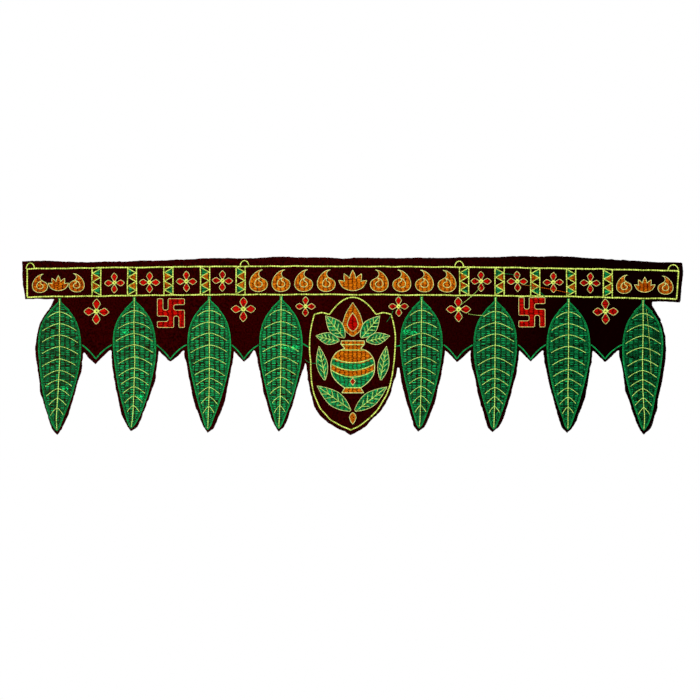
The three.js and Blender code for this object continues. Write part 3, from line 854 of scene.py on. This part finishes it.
for place, starts_right in zip(STRIP_PLACES, STRIP_STARTS_RIGHT):
    top, bottom = band_line(place, BAND_TOP), band_line(place, BAND_BOTTOM)
    half = STRIP_WIDTH / 2
    for side in (-half, half):
        upright = points_of((place + side, top), (place + side, bottom))
        border.append(chain(wavering(upright, SHORT_WAVER), **UPRIGHT_LINE))
    to_the_right = (np.arange(ZIGZAG_TURNS) % 2 == 0) == starts_right
    sides = np.where(to_the_right, half, -half) * ZIGZAG_SHARE
    levels = np.linspace(top - ZIGZAG_GAP, bottom + ZIGZAG_GAP, ZIGZAG_TURNS)
    turns = np.stack([place + sides, levels], axis=1)
    border.append(chain(turns, **ZIGZAG_LINE))
    for k, colour in enumerate(STRIP_COLOURS):
        if colour:
            corners = turns[k : k + 3]
            smaller = corners + (corners.mean(0) - corners) * TRIANGLE_DRAWN_IN
            fillings[colour].append(filled([smaller], colour, **TRIANGLE_FILLING))

for place, half in ARCHES:
    around = np.linspace(np.pi, 0, ARCH_POINTS)
    foot = band_line(place, BAND_TOP)
    arch = np.stack([place + half * np.cos(around), foot + ARCH_RISE * np.sin(around)], axis=1)
    border.append(chain(arch, **ARCH_LINE))
make_piece("border_chain", border, GOLD, ["border_lines"])

# %% [markdown]
# A leaf is drawn in rows from the top down, each with its middle and half width, because a leaf's stitches lie
# in rows too. The rows come from the solid. The blade starts in a point a little up its stalk, and each leaf
# bulges or shrinks by its own few millimetres on the left and right, since it was sewn by hand.

# %% Leaf shapes
ROW_STEP = 0.5
STALK_HALF = 2.6
STALK_ROWS = 3
SHOULDER_RISE, SHOULDER_SLOPE, SHOULDER_DEPTH = 7.0, 1.02, 8.0
SEWN_SHARES = (0.2, 0.45, 0.7, 0.9, 1.0)
SEWN_SOFTNESS = 12
SEWN_ASTRAY = (
    ((1.0, -1.0, -1.2), (1.3, 0.2, -2.2)),
    ((2.0, 1.6, 1.8), (2.6, 2.8, 2.2)),
    ((1.0, 2.4, 2.6), (1.2, 0.2, -1.2)),
    ((0.2, 2.0, 2.2), (1.2, 0.4, -1.2)),
    ((1.5, 2.6, 2.2), (0.2, 0.0, -0.6)),
    ((0.2, 1.8, 2.6), (0.0, -0.8, -1.2)),
    ((0.0, 0.4, 2.4), (0.8, -0.8, -1.2)),
    ((-1.4, 0.0, 1.8), (-1.4, -1.6, 1.0)),
)
MOST_SLOPE = 3
LEAST_HALF = 0.15


def leaf_rows(k):
    """Height, middle and half width of a leaf in rows 0.5 mm apart from the top down, from its outline. The
    blade starts in a point a little up the stalk, and widens by its own depth. Farther down, both edges
    stray from the pattern. The stalk goes on for a few rows above the solid's."""
    spans, rows = rows_across([smooth_loop(outline_of(f"leaf_{k + 1}"))], ROW_STEP)
    z, first = np.unique(rows, return_index=True)
    left, right = np.minimum.reduceat(spans[:, 0], first), np.maximum.reduceat(spans[:, 1], first)
    z, left, right = z[::-1], left[::-1], right[::-1]
    top = z[right - left > 2 * STALK_HALF][0]
    share = (top - z) / (top - z[-1])
    strays = [np.interp(share, SEWN_SHARES, (0, *at, 0))[:, None] for at in SEWN_ASTRAY[k]]
    astray = [soften(stray, SEWN_SOFTNESS)[:, 0] for stray in strays]
    left, right = left + astray[0], right + astray[1]
    middle, half = (left + right) / 2, (right - left) / 2
    shoulder = SHOULDER_SLOPE * (top + SHOULDER_RISE - z)
    half = np.where(z > top - SHOULDER_DEPTH, np.maximum(half, shoulder), half)
    z = np.concatenate([z[0] + ROW_STEP * np.arange(STALK_ROWS, 0, -1), z])
    return z, np.pad(middle, (STALK_ROWS, 0), "edge"), np.pad(half, (STALK_ROWS, 0), "edge")


def round_leaf(z, middle, half, by, least=0.0):
    """A line down a leaf's right edge and up its left one, `by` inside the outline. Measured level, that is
    more where the edge slants: by the root of one plus the slope squared. On the stalk the two sides stay at
    least `least` from the middle."""
    slope = np.clip(np.gradient(half, z), -MOST_SLOPE, MOST_SLOPE)
    inner = half - by * np.sqrt(1 + slope**2)
    inner = np.where(z > z[half.argmax()], np.maximum(inner, least), inner)
    kept = inner > LEAST_HALF
    right = np.stack([middle + inner, z], axis=1)[kept]
    left = np.stack([middle - inner, z], axis=1)[kept]
    tip = np.array([[middle[kept][-1], z[kept][-1] - ROW_STEP]])
    return np.concatenate([right, tip, left[::-1]])


print("leaf lengths", [round(float(np.ptp(leaf_rows(k)[0]))) for k in range(8)], "mm")

# %% [markdown]
# Each leaf is filled with level stitches in upright columns 7.3 mm wide. The fourth leaf's thread is painted
# brightest, and the leaves are painted darker from there to the right: painted shade where the light falls off.
# Under the filling lie long upright stitches in the darkest tint of the green, which show in the seams as
# painted shade. Here and there the green thread was sewn twice, which leaves a bright patch.

# %% Leaf fillings
LEAF_COLUMN, LEAF_ROW = 7.3, 2.5
# Painted shade: from the fourth leaf to the right each leaf's thread tint is lower, for light that falls off to
# the right.
LEAF_TONES_AND_PAINTED_SHADE = (0.37, 0.56, 0.60, 0.66, 0.43, 0.35, 0.31, 0.14)
LEAF_ROWS = {"missing": 0.02, "ragged": 0.5, "sway": 0.35}
LEAF_STITCH = {"half_width": 0.8, "lift": 0.15, "spread": 0.22}
UNDER_COLUMN, UNDER_ROW, UNDER_SWAY = 13.0, 1.6, 4.0
# The upright stitches take the darkest tint of the green: painted shade in the seams and between the rows.
UNDER_STITCH_IN_PAINTED_SHADE = {"half_width": 0.75, "lift": -0.2, "shade": 0.06, "spread": 0.05}
TWICE_SEWN = (
    ((-421.0, -191.5),),
    ((-331.5, -107.5), (-310.0, -202.0)),
    (),
    ((-99.0, -130.5), (-91.0, -133.5), (-84.5, -130.5)),
    ((77.0, -108.0), (89.0, -109.5)),
    (),
    (),
    (),
)
PATCH_REACH, PATCH_POINTS = (5.8, 3.4), 24
PATCH_COLUMN, PATCH_ROW = 6.0, 0.9
PATCH_ROWS = {"missing": 0.1, "ragged": 0.8, "sway": 1.5}
PATCH_STITCH = {"half_width": 0.48, "lift": 0.7, "shade": 0.7, "spread": 0.3}


def leaf_filling(loop, seam, k):
    """The stitches of one leaf: upright ones below, and level ones above with a few missing."""
    under = filling_lines([loop], UNDER_ROW, UNDER_COLUMN, angle=np.pi / 2, sway=UNDER_SWAY)
    lines = filling_lines([loop], LEAF_ROW, LEAF_COLUMN, shift=seam, **LEAF_ROWS)
    back_stitches["green_thread"].append(lines)
    upright = straight_stitches(under, **UNDER_STITCH_IN_PAINTED_SHADE)
    level = straight_stitches(lines, shade=LEAF_TONES_AND_PAINTED_SHADE[k], **LEAF_STITCH)
    return [upright, level]


def second_stitches(places):
    """A second layer of level stitches over an oval at each of the places."""
    around = np.linspace(0, 2 * np.pi, PATCH_POINTS, endpoint=False)
    oval = np.stack([np.cos(around), np.sin(around)], axis=1) * PATCH_REACH
    sewn = [filling_lines([oval + place], PATCH_ROW, PATCH_COLUMN, **PATCH_ROWS) for place in places]
    return [straight_stitches(lines, **PATCH_STITCH) for lines in sewn]


print("patches sewn twice", sum(len(places) for places in TWICE_SEWN))

# %% [markdown]
# Two rows of chain stitch run round each leaf. The outer one is brighter and goes on up the stalk. A midrib with
# ten pairs of veins in gold lies on top. A pair of veins is one line that droops on both sides of the midrib, as
# the ribs of an umbrella do. Near the tip the pairs are narrower and straighter. Every pair leaves out a little
# more or less on either side, as drawn by hand.

# %% Leaf rims and veins
# The outer rim's tint is lower from the fourth leaf to the right: painted shade, as in the fillings.
RIM_TONES_AND_PAINTED_SHADE = (0.42, 0.58, 0.74, 0.76, 0.5, 0.43, 0.4, 0.42)
OUTER_INSET, INNER_INSET, FILLING_INSET = 0.95, 2.5, 3.1
STALK_LEAST = 1.3
OUTER_RIM = {"half_width": 0.72, "lift": 0.55, "pitch": 2.4, "slot": "green_thread"}
INNER_RIM = {"half_width": 0.64, "lift": 0.5, "pitch": 2.4, "shade": 0.28, "slot": "green_thread"}
SEAM_OFF_THE_RIB = 0.4
RIB_ENDS, RIB_POINTS = (0.5, 3.0), 60
RIB_LINE = {"half_width": 0.56, "lift": 1.1, "pitch": 2.6, "shade": 0.72}
VEIN_LINE = {"half_width": 0.43, "lift": 1.0, "pitch": 2.6, "shade": 0.74}
VEIN_SHARES = (0.096, 0.185, 0.27, 0.357, 0.45, 0.534, 0.606, 0.676, 0.747, 0.82)
VEIN_RISE = 4.4
VEIN_POINTS = 21
REACH_SHARE, REACH_AT_TOP = 0.82, 0.84
NARROWS_FROM, NARROWS_BY = 0.6, 0.5
MEASURED_BELOW = 0.045
VEIN_DROOP = 10.5
SHORT_DROOP, FULL_DROOP_REACH = 0.45, 16
TOP_DROOP, DROOP_GROWS = 0.6, 1.6
BEND_AT_TOP, BEND_LESS = 1.76, 0.4
HAND_DRAWN = (0.94, 1.06)


def vein_pair(share, leaf, top, tip):
    """A pair of veins, a share of the way from top to tip, as one line. It reaches out to a share of the
    leaf's half width a little lower down. It droops by its distance from the midrib, as a share of the
    reach, to a power that gets smaller down the leaf. Short pairs and the topmost one droop less."""
    z, middle, half = leaf
    at = top + (tip - top) * share
    width = np.interp(-(at + (tip - top) * MEASURED_BELOW), -z, half)
    reach_share = REACH_SHARE * min(1.0, REACH_AT_TOP + share) - NARROWS_BY * max(0.0, share - NARROWS_FROM)
    reach = reach_share * width
    droop = VEIN_DROOP * min(1.0, SHORT_DROOP + reach / FULL_DROOP_REACH, TOP_DROOP + DROOP_GROWS * share)
    across = np.linspace(-1, 1, VEIN_POINTS)
    across = across * np.where(across < 0, *rng.uniform(*HAND_DRAWN, 2))
    bend = np.abs(across) ** (BEND_AT_TOP - BEND_LESS * share)
    return np.stack([np.interp(-at, -z, middle) + across * reach, at - droop * bend], axis=1)


rims, veins, second = [], [], []
for k in range(8):
    z, middle, half = leaf_rows(k)
    is_blade = half > STALK_HALF
    blade = (z[is_blade], middle[is_blade], half[is_blade])
    top, tip = blade[0][0] + VEIN_RISE, z[-1]
    filling = leaf_filling(round_leaf(*blade, FILLING_INSET), blade[1][0] + SEAM_OFF_THE_RIB, k)
    make_piece(f"leaf_{k + 1}_filling", filling, LEAF_GREEN, [f"leaf_{k + 1}"])
    second += second_stitches(TWICE_SEWN[k])
    outer_rim, inner_rim = round_leaf(z, middle, half, OUTER_INSET, STALK_LEAST), round_leaf(*blade, INNER_INSET)
    rims += [chain(outer_rim, shade=RIM_TONES_AND_PAINTED_SHADE[k], **OUTER_RIM), chain(inner_rim, **INNER_RIM)]
    rib_z = np.linspace(z[0] - RIB_ENDS[0], tip + RIB_ENDS[1], RIB_POINTS)
    rib = np.stack([np.interp(-rib_z, -z, middle), rib_z], axis=1)
    veins.append(chain(wavering(rib, RIB_WAVER), **RIB_LINE))
    for share in VEIN_SHARES:
        pair = vein_pair(share, (z, middle, half), top, tip)
        veins.append(chain(wavering(pair, SHORT_WAVER), **VEIN_LINE))
make_piece("leaf_second_stitches", second, FRESH_GREEN)
make_piece("leaf_rims", rims, RIM_GREEN)
make_piece("leaf_veins", veins, VEIN_GOLD)

# %% [markdown]
# The pointed webs between the leaves are single green lines. Each arm is a quadratic curve that leaves the
# leaf nearly level and steepens to the point. Two short ends of the same line lead from the innermost leaves to
# the medallion's shield, which is a single line of gold. The shield isn't quite even, so its line is pulled
# aside in places, as the velvet's edge is.

# %% Webs and shield
WEB_START, WEB_TIP = -126.8, -147.8
WEB_BEND = -133.5
WEB_OVERLAP = 0.9
WEB_PULLS = (0.5, 0.4)
WEB_LINE = {"half_width": 0.95, "lift": 0.5, "pitch": 2.2, "slot": "green_thread"}
SHIELD_LINE = {"half_width": 1.0, "lift": 0.55}
SHIELD_INSET = 1.45
SHIELD_STRAYS = (
    (-64, -153, 1.4, 0.0), (-61, -170, 0.8, 0.0), (-53, -203, -1.7, 0.5), (-44, -218, -2.4, -2.5),
    (-31, -232, -1.7, -4.1), (-16, -243, -0.4, -2.8), (46, -210, -1.1, 1.1), (55, -193, -2.0, -0.2),
    (60, -177, -2.4, 0.1), (62, -161, -2.2, 0.0), (63, -145, -1.6, 0.0), (62, -129, -0.9, 0.0),
)
TO_THE_SHIELD = (((-74.0, -124.5), (-65.0, -130.0)), ((62.6, -129.0), (70.5, -127.0)))


def curve_between(start, pull, end, count=12):
    """A quadratic curve: (1 - t) squared, 2 t (1 - t) and t squared of its three points."""
    t = np.linspace(0, 1, count)[:, None]
    return (1 - t) ** 2 * np.array(start) + 2 * t * (1 - t) * np.array(pull) + t**2 * np.array(end)


def web_line(node_name):
    """Down the left arm to the point and up the right arm, between the ends of the solid."""
    loop = outline_of(node_name)
    left, right = loop[:, 0].min() - WEB_OVERLAP, loop[:, 0].max() + WEB_OVERLAP
    tip = loop[loop[:, 1].argmin(), 0]
    down = curve_between((left, WEB_START), (left + (tip - left) * WEB_PULLS[0], WEB_BEND), (tip, WEB_TIP))
    up = curve_between((tip, WEB_TIP), (tip + (right - tip) * WEB_PULLS[1], WEB_BEND), (right, WEB_START))
    return np.concatenate([down, up[1:]])


WEBS = [f"web_line_{k}" for k in range(1, 7)]
webs = [web_line(name) for name in WEBS] + [points_of(*ends) for ends in TO_THE_SHIELD]
web_chains = [chain(wavering(line, SHORT_WAVER), **WEB_LINE) for line in webs]
make_piece("web_chains", web_chains, RIM_GREEN, WEBS)

shield_path = strayed(drawn_inwards(smooth_loop(outline_of("shield_line")), SHIELD_INSET), SHIELD_STRAYS)
shield_chain = chain(shield_path, closed=True, **SHIELD_LINE)
make_piece("shield_chain", [shield_chain], GOLD, ["shield_line"])

# %% [markdown]
# A flower has four petals, pointed outside and narrow inside, in red with a pale outline. Its eye is a spiral
# of thick gold thread that stands a little higher. The petals are drawn once for a reach of 1. Their red is
# painted a little darker towards the right, as painted shade where the light falls off.

# %% Flowers
FLOWERS = [f"flower_{k}" for k in range(1, 15)]
outlines, eyes = [], []
PETAL_SIDE = points_of((0.2, 0.05), (0.42, 0.2), (0.6, 0.29), (0.78, 0.21), (1.0, 0.0))
PETAL = np.concatenate([PETAL_SIDE, PETAL_SIDE[-2::-1] * [1, -1]])
PETAL_LEAN, PETAL_STEP, PETAL_CORNER = 0.03, 0.5, 60
PETAL_SHADE, PAINTED_SHADE_A_MM = 0.58, 0.0003
FINE_OUTLINE, OUTLINE, STRONG_OUTLINE, POT_OUTLINE = 0.38, 0.43, 0.5, 0.65
EYE_TURNS, EYE_POINTS = 2.0, 40
EYE_OUTSIDE, EYE_WINDS_IN, EYE_THREAD = 0.185, 0.12, 0.05
EYE_LINE = {"lift": 0.7, "pitch": 2.0, "shade": 0.7}
PETAL_GAP = 0.95


def box_of(node_name):
    """Centre and half size of a node in x and z, in mm."""
    low, high = (np.array(corner)[[0, 2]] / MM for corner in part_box(node_name))
    return (low + high) / 2, (high - low) / 2


def scaled(loop, centre, by):
    """A closed line made larger or smaller about a point, by one factor or by one for each direction."""
    return centre + (loop - centre) * by


def pale_outline(loop, half_width=OUTLINE, lift=0.55):
    """A thin closed line of pale chain stitch."""
    outlines.append(chain(loop, half_width, lift, closed=True, pitch=2.0, shade=0.7))


for name in FLOWERS:
    centre, size = box_of(name)
    for quarter in range(4):
        petal = turned(PETAL * size[0], quarter * np.pi / 2 + rng.normal(0, PETAL_LEAN))
        petal = smooth_loop(petal, PETAL_STEP, PETAL_CORNER) + centre
        pale_outline(petal, FINE_OUTLINE)
        # Painted shade: the petal's tint falls a little with each mm to the right.
        shade = PETAL_SHADE - PAINTED_SHADE_A_MM * centre[0]
        red = filled([petal], "red_thread", gap=PETAL_GAP, column=NO_SEAMS, shade=shade)
        fillings["red_thread"].append(red)
    wound = np.linspace(0, 1, EYE_POINTS)
    radius = size[0] * (EYE_OUTSIDE - EYE_WINDS_IN * wound)
    around = 2 * np.pi * EYE_TURNS * wound
    spiral = centre + np.stack([radius * np.cos(around), radius * np.sin(around)], axis=1)
    eyes.append(chain(spiral, EYE_THREAD * size[0], **EYE_LINE))
make_piece("flower_eyes", eyes, GOLD)

# %% [markdown]
# The two auspicious signs are square hooks in red with a pale outline. The thread turns an outer corner almost
# on the spot, but it rounds the bottom of each slot. So the outline is softened a little and a lot, and at each
# point the line that lies farther out is taken. Last, each sign gets its own share of the solid's size and a
# small shift, since no two were sewn quite alike.

# %% Signs
SIGNS = {"sign_left": ((0.97, 0.98), (0.0, 1.0)), "sign_right": ((0.94, 1.0), (0.0, 2.2))}
SIGN_WIDER = 0.2
SIGN_STEP, SIGN_COLUMN = 0.5, 7.0
A_LITTLE, A_LOT = 2, 7
for name, (share, shift) in SIGNS.items():
    walked = drawn_inwards(even_steps(outline_of(name), SIGN_STEP, closed=True), 0)
    tight, wide = (drawn_inwards(soften(walked, steps), -SIGN_WIDER) for steps in (A_LITTLE, A_LOT))
    outwards = ((wide - tight) * normals_out(tight)).sum(1, keepdims=True) > 0
    loop = scaled(soften(np.where(outwards, wide, tight), 1), box_of(name)[0], share) + shift
    pale_outline(loop, FINE_OUTLINE)
    seam = rng.uniform(0, SIGN_COLUMN)
    fillings["red_thread"].append(filled([loop], "red_thread", column=SIGN_COLUMN, shift=seam))
    print(name, "area", round(loop_area(loop)), "square mm")

# %% [markdown]
# Paisleys and buds fill the panels of the band in orange. Each paisley has a smaller drop outlined inside it.
# In the two end panels the thread is a darker lot.

# %% Paisleys and buds
PAISLEYS = [f"paisley_{k}" for k in range(1, 9)] + [f"end_paisley_{k}" for k in range(1, 5)]
BUDS = ["band_bud", "end_bud_1", "end_bud_2"]
ORANGE_SHADE, DARKER_LOT = 0.68, 0.4
MOST_SHIFT = 6
DROP_SCALE, DROP_BELOW = 0.42, 0.3
ON_A_FILLING = 0.9

for name in PAISLEYS + BUDS:
    loop = smooth_loop(outline_of(name))
    shade = DARKER_LOT if name.startswith("end") else ORANGE_SHADE
    seam = rng.uniform(0, MOST_SHIFT)
    fillings["orange_thread"].append(filled([loop], "orange_thread", shift=seam, shade=shade))
    pale_outline(loop)
    if name in PAISLEYS:
        centre, size = box_of(name)
        inner_drop = scaled(loop, centre - [0, size[1] * DROP_BELOW], DROP_SCALE)
        pale_outline(inner_drop, STRONG_OUTLINE, ON_A_FILLING)
print("orange motifs", len(PAISLEYS + BUDS))

# %% [markdown]
# The medallion holds a water pot with leaves and a bud, a sign of plenty. Three garlands of gold hang round
# the pot's belly, and the bands between them are green and orange by turns. Its leaves are made like the big
# ones, with their columns and veins.

# %% Pot
GARLANDS = ((-146.0, 7.0), (-155.0, 9.0), (-164.0, 10.0))
POT_RINGS = (-126.5, -134.5, -189.5)
POT_RADIUS = 32.0
POT_CORNER = 30
BELLY_DIP = 8.5
GARLAND_POINTS, GARLAND_INSET, RING_INSET = 25, 1.0, 0.5
POT_STITCH = {"half_width": FILLING_HALF, "lift": FILLING_LIFT, "spread": FILLING_SPREAD}
POT_LINE = {"half_width": 0.75, "lift": 0.95, "pitch": 2.2}
GREEN_SHADE = 0.6
JEWEL_LEVEL, JEWEL_STEP, JEWEL_LIFT = -180.5, 0.5, 1.1
JEWEL = points_of((0, 5.5), (4, 0), (0, -5.5), (-4, 0)) + [0, JEWEL_LEVEL]
medallion_lines = []

pot = smooth_loop(outline_of("pot"), corner=POT_CORNER)
pale_outline(pot, POT_OUTLINE)
spans, rows = rows_across([pot], ROW_STEP)
upwards = np.argsort(rows)


def pot_reach(level):
    """How far the pot reaches to the right at a height."""
    return np.interp(level, rows[upwards], spans[upwards, 1])


starts, ends = filling_lines([pot], FILLING_GAP, FILLING_COLUMN, **FILLING_ROWS)
middle = (starts + ends) / 2
belly_level = middle[:, 1] + BELLY_DIP * (1 - (middle[:, 0] / POT_RADIUS) ** 2)
below = sum((belly_level < level).astype(int) for level, _ in GARLANDS)
green = ((below == 1) | (below == 3)) & (middle[:, 1] > POT_RINGS[-1])
for slot, chosen, shade in (("green_thread", green, GREEN_SHADE), ("orange_thread", ~green, ORANGE_SHADE)):
    lines = (starts[chosen], ends[chosen])
    back_stitches[slot].append(lines)
    fillings[slot].append(straight_stitches(lines, shade=shade, **POT_STITCH))

for level, dip in GARLANDS:
    across = np.linspace(-1, 1, GARLAND_POINTS)
    reach = pot_reach(level) - GARLAND_INSET
    garland = np.stack([across * reach, level - dip * (1 - across**2)], axis=1)
    medallion_lines.append(chain(garland, **POT_LINE))
for level in POT_RINGS:
    reach = pot_reach(level) - RING_INSET
    medallion_lines.append(chain(points_of((-reach, level), (reach, level)), **POT_LINE))
fillings["red_thread"].append(filled([JEWEL], "red_thread", column=NO_SEAMS, lift=ON_A_FILLING))
pale_outline(even_steps(JEWEL, JEWEL_STEP, closed=True), STRONG_OUTLINE, JEWEL_LIFT)
print("pot stitches", len(starts), "of them green", int(green.sum()))

# %% [markdown]
# The bud over the pot is orange with a red heart, a small orange drop hangs below, and four pairs of leaves
# stand round them. One leaf is drawn in a little, so that its tip stays clear of the shield's line. A leaf's
# midrib joins the two points of its outline that lie farthest apart.

# %% Bud and leaves of the pot
bud = smooth_loop(outline_of("pot_bud"))
centre, size = box_of("pot_bud")
HEART_SCALE, HEART_BELOW = 0.55, 0.35
BUD_COLUMN = 7.0
heart = scaled(bud, centre - [0, size[1] * HEART_BELOW], HEART_SCALE)
fillings["orange_thread"].append(filled([bud, heart], "orange_thread", column=BUD_COLUMN))
fillings["red_thread"].append(filled([heart], "red_thread", column=NO_SEAMS))
pale_outline(bud)
pale_outline(heart, STRONG_OUTLINE)

drop = smooth_loop(outline_of("pot_drop"))
fillings["orange_thread"].append(filled([drop], "orange_thread", column=NO_SEAMS))
pale_outline(drop, STRONG_OUTLINE)

PAIRS = ("upper", "middle", "side", "lower")
POT_LEAVES = [f"pot_leaf_{pair}_{side}" for pair in PAIRS for side in ("left", "right")]
POT_LEAF_FILLING = {"gap": 1.1, "half_width": 0.5, "shade": 0.55}
CLOSE_LEAF, CLOSE_SCALE = "pot_leaf_lower_right", 0.95
MIDRIB_ENDS = (0.03, 0.93)
MIDRIB_LINE = {"half_width": 0.55, "lift": 0.95, "pitch": 2.0}
SMALL_VEIN_LINE = {"half_width": 0.45, "lift": 0.9, "pitch": 2.0}
VEIN_PLACES = (0.2, 0.36, 0.52, 0.66)
VEIN_SLANT, VEIN_LENGTH = 0.14, 0.62
WIDEST_AT, VEINS_SHORTEN = 0.42, 1.3
for name in POT_LEAVES:
    loop = smooth_loop(outline_of(name))
    if name == CLOSE_LEAF:
        loop = scaled(loop, loop[loop[:, 0].argmin()], CLOSE_SCALE)
    fillings["green_thread"].append(filled([loop], "green_thread", **POT_LEAF_FILLING))
    pale_outline(loop)
    apart = np.linalg.norm(loop[:, None] - loop[None], axis=2)
    ends_of_leaf = loop[list(np.unravel_index(apart.argmax(), apart.shape))]
    nearness = ends_of_leaf[:, 1] if "side" in name else np.abs(ends_of_leaf[:, 0])
    base, tip = ends_of_leaf[np.argsort(nearness)]
    along = tip - base
    square = np.array([-along[1], along[0]])
    midrib = np.stack([base + along * end for end in MIDRIB_ENDS])
    medallion_lines.append(chain(midrib, **MIDRIB_LINE))
    half = loop_area(loop) / (along @ along) * VEIN_LENGTH
    for share in VEIN_PLACES:
        root = base + along * share
        for hand in (-1, 1):
            shorter = 1 - abs(share - WIDEST_AT) * VEINS_SHORTEN
            end = root + along * VEIN_SLANT + square * hand * half * shorter
            medallion_lines.append(chain(np.stack([root, end]), **SMALL_VEIN_LINE))
make_piece("medallion_lines", medallion_lines, VEIN_GOLD)
make_piece("pale_outlines", outlines, PALE)

# %% [markdown]
# The fillings of one colour are one piece each, because the machine sews a colour in one go before the thread
# is changed.

# %% Fillings by colour
make_piece("red_filling", fillings["red_thread"], RED, [*FLOWERS, *SIGNS, "pot_bud"])
orange_solids = [*PAISLEYS, *BUDS, "pot", "pot_drop"]
make_piece("orange_filling", fillings["orange_thread"], ORANGE, orange_solids)
make_piece("green_filling", fillings["green_thread"], LEAF_GREEN, POT_LEAVES)

# %% [markdown]
# Where the needle jumped from one motif to the next, the thread was not always trimmed. Nine thin threads lie
# loose on the front, slack enough to bow a little.

# %% Loose threads
LOOSE = (
    ("gold_thread", (186.5, -43.0), (1.5, -1.5), (157.0, -69.0)),
    ("gold_thread", (168.0, -81.5), (0.0, -1.5), (194.0, -84.0)),
    ("gold_thread", (45.3, -188.2), (0.5, -0.5), (53.4, -193.7)),
    ("gold_thread", (428.6, -74.4), (2.0, 3.0), (435.5, -169.5)),
    ("orange_thread", (245.5, -39.0), (0.0, 2.0), (316.5, -51.5)),
    ("green_thread", (221.5, -23.0), (0.0, 1.0), (242.0, -26.2)),
    ("green_thread", (248.0, -39.0), (5.0, 8.0), (281.0, -58.5)),
    ("green_thread", (-69.8, -147.5), (-8.0, -9.5), (-40.5, -150.5)),
    ("green_thread", (58.9, -77.0), (1.5, -1.0), (49.4, -93.4)),
)
LOOSE_LINE = {"half_width": 0.3, "lift": 1.6, "pitch": 3.0}
LOOSE_SHADES = {"gold_thread": 0.4, "green_thread": 0.4, "orange_thread": 0.1}
loose = {slot: [] for slot in LOOSE_SHADES}
for slot, start, bow, end in LOOSE:
    start, end = np.array(start), np.array(end)
    line = curve_between(start, (start + end) / 2 + bow, end)
    loose[slot].append(chain(line, shade=LOOSE_SHADES[slot], slot=slot, **LOOSE_LINE))
for colour, thread in (("gold", VEIN_GOLD), ("green", RIM_GREEN), ("orange", ORANGE)):
    make_piece(f"loose_{colour}", loose[f"{colour}_thread"], thread)

# %% [markdown]
# The back shows what the needle did underneath: the chain stitch is a row of plain dashes there, and about
# every second filling stitch is carried along the cloth. Nobody trims it, for it hangs against the lintel. Only
# gold and green have lines on the back, because red and orange are fillings.

# %% Stitches on the back
DASH = 3.6
DASH_GAP = 0.1
BACK_SHARE = 0.45
BACK_DASH = {"half_width": 0.3, "lift": 0.2, "behind": True}
BACK_STITCH = {"half_width": 0.4, "lift": 0.15, "behind": True}
BACK_THREADS = {"gold": (GOLD, True), "green": (LEAF_GREEN, True), "red": (RED, False), "orange": (ORANGE, False)}


def dashes_under(lines):
    """Start and end of each dash: equal steps along the lines, each shortened a little at both ends."""
    walks = [even_steps(line, DASH) for line in lines]
    steps = np.concatenate([walked[1:] - walked[:-1] for walked in walks])
    starts = np.concatenate([walked[:-1] for walked in walks]) + steps * DASH_GAP
    ends = np.concatenate([walked[1:] for walked in walks]) - steps * DASH_GAP
    return starts, ends


def back_of(slot, with_lines):
    """The dashes under the lines of one colour, and a random share of its filling stitches."""
    parts = [straight_stitches(dashes_under(back_lines[slot]), **BACK_DASH)] if with_lines else []
    if back_stitches[slot]:
        starts, ends = (np.concatenate([lines[k] for lines in back_stitches[slot]]) for k in (0, 1))
        chosen = rng.random(len(starts)) < BACK_SHARE
        parts.append(straight_stitches((starts[chosen], ends[chosen]), **BACK_STITCH))
    return parts


for colour, (thread, with_lines) in BACK_THREADS.items():
    make_piece(f"back_{colour}_thread", back_of(f"{colour}_thread", with_lines), thread)
